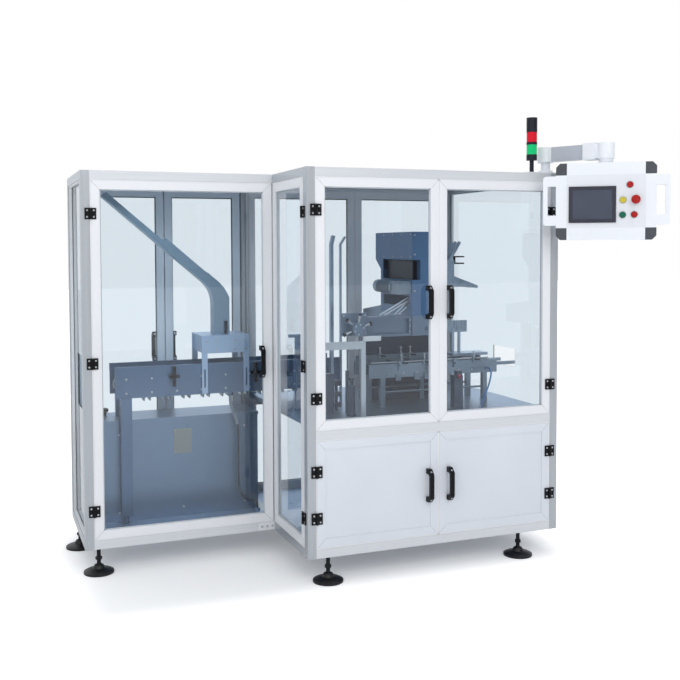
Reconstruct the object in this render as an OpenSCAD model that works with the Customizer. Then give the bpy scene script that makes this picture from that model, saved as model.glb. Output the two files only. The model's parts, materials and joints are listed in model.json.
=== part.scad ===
// Automatic cartoner: a slotted-profile guard frame in two bays on levelling feet.
// Plan before the last shift: x = 0 is the main bay's left face, y = 0 its front face.
// The floor is z = 0, and the rear is +y.

/* [Frame] */
// Side of the square aluminium profile
profile = 40; // [30:1:45]
// Width of the main bay over its posts
main_w = 1260; // [1200:10:1400]
// Width of the infeed bay, up to the main bay
infeed_w = 880; // [860:10:1100]
// How far the infeed bay's front stands behind the main bay's front
step_back = 480; // [440:10:500]
// Depth of the main bay, front face to rear face
depth = 1070; // [1050:10:1200]
// Top of the frame above the floor
frame_top = 1800; // [1760:10:2000]
// Underside of the frame above the floor
foot_h = 110; // [90:1:130]
// Underside of the rail between cabinet and window
mid_rail_z = 625; // [600:5:640]
// Width of the profile's T-slot
slot_w = 8; // [6:0.5:10]
// Depth of the profile's T-slot
slot_d = 9; // [5:0.5:12]

/* [Doors] */
// Gap round each door
door_gap = 5; // [5:0.5:8]
// Gap between the infeed door's free edge and the main bay
free_gap = 8; // [6:0.5:14]
// Face width of the mitred door bars
door_bar = 38; // [32:1:44]
// Thickness of the door bars
door_t = 25; // [20:1:30]
// Thickness of the clear sheets
pane_t = 5; // [4:0.5:8]
// Depth of the groove that takes a sheet's edge
pane_bite = 8; // [5:0.5:12]
// Thickness of the painted sheet panels
sheet_t = 3; // [2:0.5:5]
// Width of the main bay's left rear panel
back_left_w = 610; // [560:2.5:620]
// Width of the infeed bay's left rear door
rear_left_w = 427.5; // [390:2.5:440]

/* [Hinges and handles] */
// Width of an open hinge
hinge_w = 50; // [44:1:60]
// Height of a hinge
hinge_h = 50; // [40:1:70]
// Thickness of a hinge leaf
leaf_t = 5; // [4:0.5:6]
// Radius of the hinge barrel
barrel_r = 6; // [5:0.25:7]
// Radius of the hinge pin
pin_r = 2.5; // [2:0.25:3]
// Running clearance on a pin's radius
run_gap = 0.05; // [0.02:0.01:0.1]
// Clearance of a chain on its wheels and slides
seat_gap = 0.3; // [0.2:0.1:0.6]
// Clearance between a barrel and its neighbours
barrel_gap = 0.4; // [0.3:0.1:1]
// Length of a bow handle
handle_l = 150; // [120:5:200]
// How far a handle stands out from its sheet
handle_reach = 44; // [36:1:56]
// Thickness of a handle's grip
handle_bar = 13; // [9:0.5:18]
// Width of a handle
handle_w = 20; // [14:1:26]
// Length of a handle's foot along the door
handle_foot = 22; // [18:1:30]
// Cut across a handle's outer corners
handle_cut = 22; // [14:1:26]
// Clearance between a handle and its door's stile
handle_gap = 1; // [1:0.5:8]

/* [Feet] */
// Radius of a foot's pad
pad_r = 67; // [50:1:80]
// Radius of a foot's stem
stem_r = 9; // [6:0.5:12]
// Distance of the main bay's front feet from its sides: left, right
main_foot_in = [100, 200]; // [60:10:260]
// Distance of the infeed bay's feet from its left face and from its front
infeed_foot_in = [60, 420]; // [40:10:480]

/* [Table and base] */
// Height of the tube stand on the table
stand_h = 349; // [300:1:400]
// Thickness of the table plate
table_t = 20; // [12:1:30]
// Gap between the table and the posts
table_gap = 2; // [1:0.5:5]
// Top of the infeed bay's base cabinet above the floor
base_top = 640; // [560:10:680]
// Front of the base cabinet behind the infeed bay's front
base_front = 254; // [240:2:300]
// Gap between the base cabinet and the rear doors
base_rear = 82; // [40:2:120]
// Gap at the base cabinet's ends
base_gap = 6; // [2:1:20]

/* [Infeed conveyor] */
// Near side of the conveyor behind the infeed bay's front
conv_front = 208; // [200:2:210]
// Width over the conveyor's side plates
conv_w = 190; // [160:2:220]
// Distance of the conveyor's tail from the infeed bay's left face
conv_tail = 168; // [120:2:260]
// How far the conveyor runs on into the main bay
conv_run_on = 420; // [300:10:460]
// Top of the conveyor's guide lip above the floor
conv_top = 897; // [860:1:940]
// Height of the guide lip
lip_h = 40; // [30:1:50]
// How far the guide lip stands out of the side plate
lip_out = 10; // [6:1:14]
// Height of the side plates below the lip
plate_h = 109; // [100:1:120]
// Thickness of the side plates
plate_t = 6; // [4:0.5:10]
// Size of a conveyor leg
leg_size = [52, 32]; // [24:1:60]
// Radius of the chain loop over its links
loop_r = 52; // [48:1:54]
// Thickness of the chain links
link_t = 10; // [8:0.5:14]
// Width of the chain
chain_w = 60; // [40:1:80]
// Distance between pairs of flights
flight_pitch = 97; // [80:1:140]
// Distance between the two flights of a pair
flight_pair = 29; // [24:1:40]
// How far a flight stands out of the chain
flight_h = 29; // [16:1:30]

/* [Product feed] */
// Top of the feed head above the floor
head_top = 1032; // [1010:1:1060]
// Height of the feed head
head_h = 86; // [70:1:100]
// Width of the feed head along the conveyor
head_w = 236; // [180:2:240]
// Width of the straps that carry the feed head
strap_w = 28; // [20:1:40]
// Middle of the drop tube to the left of the main bay
drop_in = 182; // [170:1:200]
// Width of the drop tube
drop_w = 80; // [60:1:100]
// Width of the chute across the conveyor
chute_w = 70; // [50:1:90]
// Depth of the chute's open channel
chute_h = 28; // [20:1:40]
// Depth of the chute's covered channel
cover_h = 46; // [42:1:60]
// Length of the open channel
open_l = 350; // [250:5:450]
// Slope of the chute below level
chute_slope = 40.5; // [36:0.5:42]
// Top of the chute below the frame's top
chute_below = 100; // [80:5:200]
// Top end of the chute inside the infeed bay's left face
chute_in = 128; // [100:2:160]
// Radius of the flexible conduit and of the cable that comes out of it
conduit_r = [9, 5]; // [4:0.5:12]
// Radius of the air tube
air_r = 4; // [3:0.5:6]

/* [Carton magazine] */
// Left side of the magazine tower in the main bay
tower_x = 690; // [660:5:720]
// Front of the tower behind the main bay's front
tower_y = 400; // [380:5:430]
// Width of the tower
tower_w = 190; // [150:2:200]
// Depth of the tower's head
tower_d = 445; // [420:5:460]
// Depth of the tower's neck
neck_d = 378; // [340:2:390]
// Top of the tower above the floor
tower_top = 1532; // [1480:2:1600]
// Height of the tower's head
tower_head = 138; // [110:2:160]
// Height of the opening below the tower's head
tower_mouth = 99; // [80:1:110]
// Thickness of the tower's sheet walls
wall_t = 5; // [4:0.5:8]
// Top of the beam that carries the tower, above the floor
beam_top = 1118; // [1100:2:1140]
// Height of the beam
beam_h = 98; // [80:2:120]
// Gap between the beam and the rear rails
beam_rear = 10; // [5:1:60]
// How far the beam's gantry reaches to the left of the tower
gantry_l = 235; // [200:5:250]
// Thickness of the magazine's guide bars
bar_t = 8; // [5:0.5:10]

/* [Carton track] */
// Near rail of the carton track behind the main bay's front
track_y = 352; // [340:2:380]
// Distance between the outer faces of the track's rails
track_w = 190; // [160:2:220]
// Top of the track's rails above the floor
track_top = 892; // [870:1:930]
// Left end of the track in the main bay
track_x = 440; // [400:5:480]
// Length of the track
track_l = 700; // [640:10:740]
// Left end of the drive housing behind the track
housing_x = 505; // [480:5:540]
// Width of the drive housing
housing_w = 210; // [160:5:215]
// Depth of the drive housing
housing_d = 80; // [60:2:86]
// Gap between the track and the drive housing
housing_gap = 18; // [12:1:22]
// From the housing's rear face to the first column of the tower
column_gap = 8; // [4:1:20]
// Width of the shield plate beside the housing
shield_w = 212; // [160:2:230]
// Height of the discharge opening in the right side
port_h = 92; // [80:2:140]
// Width of the discharge opening in the right side
port_w = 210; // [200:5:260]

/* [Control box] */
// Width of the control box
box_w = 436; // [400:2:460]
// Height of the control box
box_h = 347; // [320:1:380]
// Depth of the control box
box_d = 110; // [90:2:120]
// Underside of the control box above the floor
box_z = 1486; // [1450:2:1500]
// Distance from the arm's column to the box's swivel
arm_l = 307; // [300:1:340]
// Height of the arm's tube
arm_h = 66; // [56:1:72]
// Width of the arm's tube
arm_w = 56; // [48:1:60]
// Direction of the arm at rest, from the x axis
arm_dir = -63; // [-64:0.5:-60]
// Turn of the box at rest
box_turn = 37; // [34:0.5:38]
// Size of the screen's bezel
screen_size = [206, 164]; // [140:2:210]
// Radius of the push buttons
button_r = 14; // [10:0.5:16]
// Radius of the mushroom button
mushroom_r = 20; // [16:0.5:22]

/* [Lamp] */
// Radius of the stack lamp
lamp_r = 25; // [20:0.5:30]
// Height of one lamp lens
lens_h = 46; // [36:1:60]

/* [Hidden] */
$fn = 48;

silver = "#d9dce1";
pane_blue = "#b9d3e2";
paint_white = "#f1f2f4";
black = "#1c1d20";
stainless = "#a9b3bd";
dark_steel = "#5c6672";
lamp_red_c = "#d3172b";
lamp_green_c = "#10a35b";
air_blue = "#2f6ea8";

// Heights of the door openings
door_z0 = foot_h + profile + door_gap;
door_z1 = frame_top - profile - door_gap;
cabinet_z1 = mid_rail_z - door_gap;
upper_z0 = mid_rail_z + profile + door_gap;
full_h = door_z1 - door_z0;
cabinet_h = cabinet_z1 - door_z0;
upper_h = door_z1 - upper_z0;

// Widths of the doors
main_door_w = (main_w - 2 * profile - 3 * door_gap) / 2;
rear_right_w = infeed_w - profile - 3 * door_gap - rear_left_w;
infeed_door_w = infeed_w - profile - door_gap - free_gap;
side_door_w = step_back - profile - 2 * door_gap;
infeed_x0 = -infeed_w + profile + door_gap;

// Hinge axis in front of the door's face, and the sheet's place in the door's thickness
axis_out = barrel_r + 1;
pane_y = (door_t - pane_t) / 2;
full_hinges = [127, 789, 1454];
pair_hinges = [130, 333];
upper_hinges = [136, 947];

// Inside faces of the bays
rear_in = depth - profile;
infeed_in = step_back + profile;
pan_z = foot_h + profile - sheet_t;
pan_top = foot_h + profile;
table_z = mid_rail_z + profile;
table_top = table_z + table_t;
housing_rear = track_y + track_w + housing_gap + housing_d;

// Infeed conveyor
conv_y = step_back + conv_front;
conv_x0 = -infeed_w + conv_tail;
conv_x1 = conv_run_on;
conv_low = conv_top - lip_h - plate_h;
loop_z = conv_low + loop_r + 2;
loop_x0 = conv_x0 + loop_r + 6;
loop_x1 = conv_x1 - loop_r - 6;
chute_top = [-infeed_w + chute_in, frame_top - chute_below];

// Route of the conduit from the conveyor to the floor pan, and of the air tube from the track to the table
gland_r = 13;
gland_h = 14;
conduit_end_z = 600;
conduit_path = [
    [-156, 691, 734], [-156, 691, 716], [-155, 691, 698], [-151, 691, 678], [-144, 691, 656],
    [-135, 691, 634], [-127, 691, 612], [-121, 691, 586], [-118, 691, 552], [-118, 691, 500],
    [-118, 691, 450], [-118, 691, 400], [-118, 691, 350], [-117, 691, 305], [-113, 691, 270],
    [-103, 691, 240], [-87, 691, 218], [-68, 691, 208], [-50, 691, 204], [-34, 691, 196],
    [-24, 691, 182], [-22, 691, 172], [-22, 691, 164]];
air_path = [
    [1078, 338, 850], [1078, 328, 850], [1077, 314, 848], [1073, 297, 842], [1065, 280, 830],
    [1052, 264, 810], [1036, 250, 784], [1018, 240, 755], [1000, 233, 728], [987, 230, 706],
    [981, 229, 694], [981, 229, 685]];
base_y = step_back + base_front;
base_d = depth - door_t - base_rear - base_y;

// Control arm and box
bracket_t = 6;
column = [main_w - 25, 70];
column_r = 22;
column_top = frame_top + bracket_t + 48;
elbow_r = 38;
arm_pin_r = 12;
box_at = column + arm_l * [cos(arm_dir), sin(arm_dir)];
box_top = box_z + box_h;
collar_h = 6;
block_w = 48;
block_h = 54;
panel_t = 3;
panel_in = 46;
grip_reach = 57;
grip_t = 20;
grip_d = 30;

// Shift that puts the origin under the middle of the whole machine
box_half = box_w / 2 + grip_reach;
x_max = box_at.x + box_half * cos(box_turn) - box_d / 2 * sin(box_turn) + grip_d * sin(box_turn);
y_min = box_at.y - box_half * sin(box_turn) - box_d / 2 * cos(box_turn);
x_min = -infeed_w + profile / 2 - pad_r;
y_max = max(depth + handle_reach - pane_y, depth - profile / 2 + pad_r);
mid_x = (x_min + x_max) / 2;
mid_y = (y_min + y_max) / 2;

module in_plan() {
    translate([-mid_x, -mid_y, 0]) children();
}

// Square profile with T-slots on the named sides: 0 is +x, 90 is +y
module bar_section(sides) {
    difference() {
        square(profile);
        for (a = sides)
            translate([profile, profile] / 2) rotate(a)
                translate([profile / 2 - slot_d, -slot_w / 2]) square([slot_d + 1, slot_w]);
    }
}

module post(x, y, sides) {
    translate([x, y, foot_h]) linear_extrude(frame_top - foot_h) bar_section(sides);
}

module rail_x(x0, x1, y, z, sides) {
    translate([x0, y, z]) rotate([90, 0, 90]) linear_extrude(x1 - x0) bar_section(sides);
}

module rail_y(x, y0, y1, z, sides) {
    translate([x, y1, z]) rotate([90, 0, 0]) linear_extrude(y1 - y0) bar_section(sides);
}

module frame_posts() {
    color(silver) in_plan() {
        post(0, 0, [0, 90]);
        post(main_w - profile, 0, [90, 180]);
        post(0, step_back, [90]);
        post(0, rear_in, [0, 180, 270]);
        post(main_w - profile, rear_in, [180, 270]);
        post(-infeed_w, step_back, [0, 90]);
        post(-infeed_w, rear_in, [0, 270]);
    }
}

module frame_rails_x() {
    color(silver) in_plan() {
        for (z = [foot_h, mid_rail_z, frame_top - profile])
            rail_x(profile, main_w - profile, 0, z, [0]);
        for (z = [foot_h, frame_top - profile]) {
            rail_x(profile, main_w - profile, rear_in, z, [180]);
            rail_x(-infeed_w + profile, 0, step_back, z, [0]);
            rail_x(-infeed_w + profile, 0, rear_in, z, [180]);
        }
        rail_x(profile, main_w - profile, rear_in - door_t - door_gap, mid_rail_z, [180]);
    }
}

module frame_rails_y() {
    color(silver) in_plan() {
        for (z = [foot_h, frame_top - profile]) {
            rail_y(0, profile, step_back, z, [0]);
            rail_y(0, infeed_in, rear_in, z, [0, 180]);
            rail_y(-infeed_w, infeed_in, rear_in, z, [0]);
            rail_y(main_w - profile, profile, rear_in, z, [180]);
        }
        rail_y(main_w - profile, profile, rear_in - door_t - door_gap, mid_rail_z, [180]);
    }
}

// One levelling foot: a domed pad, a ball neck, a threaded stem and its nut
module foot(x, y) {
    translate([x, y, 0]) {
        rotate_extrude()
            polygon([[0, 0], [pad_r, 0], [pad_r, 9], [pad_r * 0.82, 15], [pad_r * 0.42, 22],
                     [pad_r * 0.3, 36], [stem_r, 42], [stem_r, foot_h], [0, foot_h]]);
        translate([0, 0, foot_h * 0.55]) cylinder(r = stem_r * 1.7, h = 12, $fn = 6);
    }
}

module levelling_feet() {
    half = profile / 2;
    color(black) in_plan() {
        for (x = [main_foot_in[0], main_w - main_foot_in[1]], y = [half, depth - half]) foot(x, y);
        foot(-infeed_w + infeed_foot_in[0], step_back + half);
        foot(-infeed_w + half, step_back + infeed_foot_in[1]);
    }
}

// A mitred door frame: its hinge side is x = 0 and its face is y = 0
module door_frame(w, h) {
    difference() {
        cube([w, door_t, h]);
        translate([door_bar, -1, door_bar]) cube([w - 2 * door_bar, door_t + 2, h - 2 * door_bar]);
        door_pane(w, h);
    }
}

// The sheet that sits in a door frame's groove
module door_pane(w, h) {
    rim = door_bar - pane_bite;
    translate([rim, pane_y, rim]) cube([w - 2 * rim, pane_t, h - 2 * rim]);
}

// A door of painted sheet: the panel is set back within the mitred border
panel_recess = 4;
module panel_door(w, h) {
    difference() {
        cube([w, door_t, h]);
        translate([door_bar, -1, door_bar]) cube([w - 2 * door_bar, panel_recess + 1, h - 2 * door_bar]);
        translate([door_bar, panel_recess + sheet_t, door_bar])
            cube([w - 2 * door_bar, door_t, h - 2 * door_bar]);
    }
}

// Side outline of a bow handle, feet at x = 0
module bow(l, reach, grip, foot_l, corner) {
    inner = corner - grip / 2;
    difference() {
        union() {
            translate([0, -l / 2]) square([reach - corner, l]);
            translate([0, -l / 2 + corner]) square([reach, l - 2 * corner]);
            for (s = [-1, 1]) translate([reach - corner, s * (l / 2 - corner)]) circle(corner);
        }
        translate([-1, -l / 2 + foot_l]) square([reach - grip - inner + 1, l - 2 * foot_l]);
        translate([-1, -l / 2 + foot_l + inner])
            square([reach - grip + 1, l - 2 * foot_l - 2 * inner]);
        for (s = [-1, 1])
            translate([reach - grip - inner, s * (l / 2 - foot_l - inner)]) circle(inner);
    }
}

// Half of a bow handle's side outline, its foot at x = 0
module half_handle() {
    half = handle_l / 2;
    grip_x = handle_reach - handle_bar;
    foot_z = half - handle_foot;
    fillet = handle_cut / 3;
    polygon([[0, half], [handle_reach - handle_cut, half], [handle_reach, half - handle_cut],
             [handle_reach, 0], [grip_x, 0], [grip_x, foot_z - fillet], [grip_x - fillet, foot_z],
             [0, foot_z]]);
}

// A bow handle bolted on the sheet beside the free stile of a door w wide, at height z;
// the sheet lies seat behind the door's face
module handle(w, z, seat) {
    translate([w - door_bar - handle_gap, seat, z]) rotate([90, 0, -90]) linear_extrude(handle_w)
        union() {
            half_handle();
            mirror([0, 1]) half_handle();
        }
}

// Places a hinge's axis at the door's hinge edge, at height z
module at_hinge(z) {
    translate([-door_gap / 2, -axis_out, z - hinge_h / 2]) children();
}

knuckle = hinge_h * 0.3;
leaf_w = hinge_w / 2 - door_gap / 4;

// The hinge half on the post: a leaf, two knuckles and the pin
module post_leaf() {
    difference() {
        union() {
            translate([-hinge_w / 2, axis_out - leaf_t, 0]) cube([leaf_w, leaf_t, hinge_h]);
            for (z = [0, hinge_h - knuckle]) translate([0, 0, z]) {
                cylinder(r = barrel_r, h = knuckle);
                translate([-barrel_r, 0, 0]) cube([barrel_r - door_gap / 4, axis_out, knuckle]);
            }
        }
        translate([0, 0, knuckle]) cylinder(r = barrel_r + barrel_gap, h = hinge_h - 2 * knuckle);
    }
    cylinder(r = pin_r, h = hinge_h);
}

// The hinge half on the door: a leaf and the middle knuckle, bored for the pin
module door_leaf() {
    mid_h = hinge_h - 2 * knuckle - 2 * barrel_gap;
    difference() {
        union() {
            translate([door_gap / 4, axis_out - leaf_t, 0]) cube([leaf_w, leaf_t, hinge_h]);
            translate([0, 0, knuckle + barrel_gap]) {
                cylinder(r = barrel_r, h = mid_h);
                translate([door_gap / 4, 0, 0]) cube([barrel_r - door_gap / 4, axis_out, mid_h]);
            }
        }
        for (z = [-1, hinge_h - knuckle - barrel_gap])
            translate([0, 0, z]) cylinder(r = barrel_r + barrel_gap, h = knuckle + barrel_gap + 1);
        cylinder(r = pin_r + run_gap, h = hinge_h);
    }
}

// Places of the doors: each has its hinge edge at local x = 0 and its face at local y = 0
module at_infeed_door() { translate([infeed_x0, step_back, door_z0]) children(); }
module at_main_left(z) { translate([profile + door_gap, 0, z]) children(); }
module at_main_right(z) { translate([main_w - profile - door_gap, 0, z]) mirror([1, 0, 0]) children(); }
module at_rear_left() { translate([infeed_x0, depth, door_z0]) mirror([0, 1, 0]) children(); }
module at_rear_right() { translate([-door_gap, depth, door_z0]) rotate(180) children(); }
module at_side_door() { translate([0, profile + door_gap, door_z0]) mirror([1, -1, 0]) children(); }

// The main bay's rear is closed by two bolted panels that fill the opening
back_w = [back_left_w, main_w - 2 * profile - door_gap - back_left_w];
back_h = frame_top - profile - pan_top;
module at_back_panel(i) {
    translate([profile + i * (back_left_w + door_gap), depth, pan_top]) mirror([0, 1, 0]) children();
}

module fixed_door_frames() {
    color(silver) in_plan() {
        at_main_left(upper_z0) door_frame(main_door_w, upper_h);
        at_main_right(upper_z0) door_frame(main_door_w, upper_h);
        at_side_door() door_frame(side_door_w, full_h);
        for (i = [0, 1]) at_back_panel(i) door_frame(back_w[i], back_h);
    }
}

module fixed_door_panes() {
    color(pane_blue) in_plan() {
        at_main_left(upper_z0) door_pane(main_door_w, upper_h);
        at_main_right(upper_z0) door_pane(main_door_w, upper_h);
        at_side_door() door_pane(side_door_w, full_h);
        for (i = [0, 1]) at_back_panel(i) door_pane(back_w[i], back_h);
    }
}

upper_handle_z = 539;
cabinet_handle_z = 228;
infeed_handle_z = 764;
rear_handle_z = 796;

module fixed_door_fittings() {
    color(black) in_plan() {
        at_main_left(upper_z0) handle(main_door_w, upper_handle_z, pane_y);
        at_main_right(upper_z0) handle(main_door_w, upper_handle_z, pane_y);
        for (z = upper_hinges) {
            at_main_left(upper_z0) at_hinge(z) door_leaf();
            at_main_right(upper_z0) at_hinge(z) door_leaf();
        }
        for (z = full_hinges) at_side_door() at_hinge(z) door_leaf();
    }
}

module hinge_leaves() {
    color(black) in_plan() {
        for (z = upper_hinges) {
            at_main_left(upper_z0) at_hinge(z) post_leaf();
            at_main_right(upper_z0) at_hinge(z) post_leaf();
        }
        for (z = pair_hinges) {
            at_main_left(door_z0) at_hinge(z) post_leaf();
            at_main_right(door_z0) at_hinge(z) post_leaf();
        }
        for (z = full_hinges) {
            at_side_door() at_hinge(z) post_leaf();
            at_infeed_door() at_hinge(z) post_leaf();
            at_rear_left() at_hinge(z) post_leaf();
            at_rear_right() at_hinge(z) post_leaf();
        }
    }
}

// Hinge leaves and handle of one door that opens
module door_fittings(w, hinges, handle_z, seat) {
    for (z = hinges) at_hinge(z) door_leaf();
    handle(w, handle_z, seat);
}

module infeed_door_frame() { color(silver) in_plan() at_infeed_door() door_frame(infeed_door_w, full_h); }
module infeed_door_pane() { color(pane_blue) in_plan() at_infeed_door() door_pane(infeed_door_w, full_h); }
module infeed_door_fittings() {
    color(black) in_plan() at_infeed_door()
        door_fittings(infeed_door_w, full_hinges, infeed_handle_z, pane_y);
}

module cabinet_door_left() {
    color(paint_white) in_plan() at_main_left(door_z0) panel_door(main_door_w, cabinet_h);
}
module cabinet_door_left_fittings() {
    color(black) in_plan() at_main_left(door_z0)
        door_fittings(main_door_w, pair_hinges, cabinet_handle_z, panel_recess);
}
module cabinet_door_right() {
    color(paint_white) in_plan() at_main_right(door_z0) panel_door(main_door_w, cabinet_h);
}
module cabinet_door_right_fittings() {
    color(black) in_plan() at_main_right(door_z0)
        door_fittings(main_door_w, pair_hinges, cabinet_handle_z, panel_recess);
}

module rear_door_left_frame() { color(silver) in_plan() at_rear_left() door_frame(rear_left_w, full_h); }
module rear_door_left_pane() { color(pane_blue) in_plan() at_rear_left() door_pane(rear_left_w, full_h); }
module rear_door_left_fittings() {
    color(black) in_plan() at_rear_left()
        door_fittings(rear_left_w, full_hinges, rear_handle_z, pane_y);
}
module rear_door_right_frame() { color(silver) in_plan() at_rear_right() door_frame(rear_right_w, full_h); }
module rear_door_right_pane() { color(pane_blue) in_plan() at_rear_right() door_pane(rear_right_w, full_h); }
module rear_door_right_fittings() {
    color(black) in_plan() at_rear_right()
        door_fittings(rear_right_w, full_hinges, rear_handle_z, pane_y);
}

// Clear left side of the infeed bay, cut out where products come in on the conveyor
module left_side_pane() {
    margin = 12;
    color(pane_blue) in_plan() difference() {
        translate([-infeed_w + profile / 2, infeed_in, pan_top])
            cube([pane_t, rear_in - infeed_in, frame_top - profile - pan_top]);
        translate([-infeed_w, conv_y - margin, conv_low - flight_h - margin])
            cube([profile, conv_w + 2 * margin, conv_top - conv_low + flight_h + 6 * margin]);
    }
}

guide_bar = 16;
guide_below = 33;
port_sill = 12;
guide_z = track_top - guide_below;
port_z = guide_z - port_sill;
port_y = track_y + (track_w - port_w) / 2;

// Clear right side of the main bay, cut out where full cartons leave
module right_side_pane() {
    color(pane_blue) in_plan() difference() {
        translate([main_w - profile / 2, profile, table_z])
            cube([pane_t, rear_in - profile, frame_top - profile - table_z]);
        translate([main_w - profile, port_y, port_z]) cube([profile, port_w, port_h]);
    }
}

module right_lower_panel() {
    color(paint_white) in_plan() translate([main_w - profile / 2, profile, pan_top])
        cube([sheet_t, rear_in - profile, mid_rail_z - pan_top]);
}

module roof_panels() {
    z = frame_top - profile / 2;
    color(paint_white) in_plan() {
        translate([profile, profile, z]) cube([main_w - 2 * profile, rear_in - profile, sheet_t]);
        translate([-infeed_w + profile, infeed_in, z])
            cube([infeed_w - profile, rear_in - infeed_in, sheet_t]);
    }
}

// The machine's table: a plate on the middle rails, notched round the posts
module table_plate() {
    edge = door_t + door_gap;
    color(stainless) in_plan() difference() {
        translate([profile + table_gap, edge, table_z])
            cube([main_w - 1.7 * profile - table_gap, depth - 2 * edge, table_t]);
        for (x = [0, main_w - profile], y = [0, rear_in])
            translate([x - table_gap, y - table_gap, table_z - 1])
                cube([profile + 2 * table_gap, profile + 2 * table_gap, table_t + 2]);
    }
}

module floor_pans() {
    foot = conduit_path[len(conduit_path) - 1];
    color(stainless) in_plan() {
        translate([foot.x, foot.y, pan_z]) cylinder(r = gland_r, h = sheet_t + gland_h);
        translate([profile, profile, pan_z]) cube([main_w - 2 * profile, rear_in - profile, sheet_t]);
        translate([-infeed_w + profile, infeed_in, pan_z])
            cube([infeed_w - profile, rear_in - infeed_in, sheet_t]);
    }
}

// Folded stainless cabinet under the infeed conveyor
module base_cabinet() {
    lip = 14;
    w = infeed_w - profile - 2 * base_gap;
    color(stainless) in_plan() translate([-infeed_w + profile + base_gap, base_y, pan_top]) {
        cube([w, base_d, base_top - pan_top - sheet_t]);
        translate([0, -lip, base_top - pan_top - lip]) cube([w, base_d + lip, lip]);
    }
}

// Side plates, guide lips, cross tubes, chain wheels and legs of the infeed conveyor
module conveyor_frame() {
    len = conv_x1 - conv_x0;
    stub = [10, 40];
    tie_r = 9;
    tie_in = 150;
    shaft_r = 14;
    wheel_w = 24;
    far_y = conv_y + conv_w;
    leg_x = conv_x0 + 24;
    run_leg_x = conv_x1 - 120;
    color(stainless) in_plan() {
        for (y = [conv_y, far_y - plate_t])
            translate([conv_x0, y, conv_low]) cube([len, plate_t, plate_h + lip_h]);
        for (y = [conv_y - lip_out, far_y])
            translate([conv_x0, y, conv_top - lip_h]) cube([len, lip_out, lip_h]);
        for (x = [conv_x0 + tie_in, (conv_x0 + conv_x1) / 2, conv_x1 - tie_in])
            translate([x, conv_y, loop_z]) rotate([-90, 0, 0]) cylinder(r = tie_r, h = conv_w);
        for (x = [loop_x0, loop_x1]) translate([x, conv_y, loop_z]) rotate([-90, 0, 0]) {
            cylinder(r = shaft_r, h = conv_w);
            translate([0, 0, (conv_w - wheel_w) / 2]) cylinder(r = loop_r - link_t - seat_gap, h = wheel_w);
        }
        translate([leg_x, conv_y - lip_out, pan_top + stub[1]])
            cube([leg_size.x, leg_size.y + lip_out, conv_low - pan_top - stub[1]]);
        translate([leg_x + leg_size.x / 2, conv_y + leg_size.y / 2, pan_top])
            cylinder(r = stub[0], h = stub[1] + 1);
        translate([leg_x, far_y - leg_size.y, base_top]) cube([leg_size.x, leg_size.y, conv_low - base_top]);
        for (y = [conv_y, far_y - leg_size.y])
            translate([run_leg_x, y, table_top]) cube([leg_size.x, leg_size.y, conv_low - table_top]);
        translate([conduit_path[0].x, conduit_path[0].y, conv_low - gland_h])
            cylinder(r = gland_r, h = gland_h + 1);
    }
}

// Outline of a chain loop between two sprockets
module loop_outline(x0, x1, r) {
    translate([x0, -r]) square([x1 - x0, 2 * r]);
    for (x = [x0, x1]) translate([x, 0]) circle(r);
}

// A hooked flight standing on the chain at y = 0
module flight() {
    root = 16;
    tip = 7;
    polygon([[0, -1], [root, -1], [root, flight_h * 0.4], [tip + 4, flight_h], [tip, flight_h],
             [tip - 2, flight_h * 0.5]]);
}

module conveyor_chain() {
    count = floor((loop_x1 - loop_x0) / flight_pitch);
    color(dark_steel) in_plan()
        translate([0, conv_y + (conv_w + chain_w) / 2, loop_z]) rotate([90, 0, 0]) linear_extrude(chain_w) {
            difference() {
                loop_outline(loop_x0, loop_x1, loop_r);
                loop_outline(loop_x0, loop_x1, loop_r - link_t);
            }
            for (i = [0 : count - 1], shift = [0, flight_pair]) {
                x = loop_x0 + i * flight_pitch + shift;
                translate([x, loop_r]) flight();
                translate([x, -loop_r]) rotate(180) flight();
            }
        }
}

// Side outline of the chute, inset by t: a sloping channel, a covered stretch and a drop tube
function chute_points(t, ends, rise) =
    let (a = -chute_slope, along = [cos(a), sin(a)], up = [-sin(a), cos(a)],
         left = -drop_in - drop_w / 2 + t, right = -drop_in + drop_w / 2 - t, bend = drop_w / 3,
         low = chute_top.y + (left - chute_top.x) * tan(a) + t / cos(a),
         high = chute_top.y + (right - chute_top.x) * tan(a) + (cover_h - t) / cos(a))
    [chute_top - ends * along + t * up, [left, low], [left, head_top - ends], [right, head_top - ends],
     [right, high - bend], [right - bend, high - bend * tan(a)],
     chute_top + (open_l + t) * along + (cover_h - t) * up,
     chute_top + (open_l + t) * along + (chute_h + rise) * up,
     chute_top - ends * along + (chute_h + rise) * up];

// Sheet chute that brings products down a slope and turns them into the feed head
module feed_chute() {
    slot = [20, 65];
    wire_r = 4;
    wire_l = 90;
    wire_back = 107.846;
    bend_x = -drop_in + drop_w / 6;
    wire_at = (bend_x - chute_top.x - cover_h * sin(chute_slope)) / cos(chute_slope) - wire_back;
    color(stainless) in_plan() translate([0, conv_y + (conv_w + chute_w) / 2, 0]) rotate([90, 0, 0]) {
        difference() {
            linear_extrude(chute_w) polygon(chute_points(0, 0, 0));
            translate([0, 0, sheet_t]) linear_extrude(chute_w - 2 * sheet_t)
                polygon(chute_points(sheet_t, 1, 1));
            translate([-drop_in + slot.x / 2, head_top - 1, chute_w - sheet_t - 1])
                cube([slot.x, slot.y, sheet_t + 2]);
        }
        translate(chute_top) rotate(-chute_slope) for (z = [chute_w * 0.3, chute_w * 0.7])
            translate([wire_at, cover_h + wire_r / 2, z]) rotate([0, 90, 0]) cylinder(r = wire_r, h = wire_l);
    }
}

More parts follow.
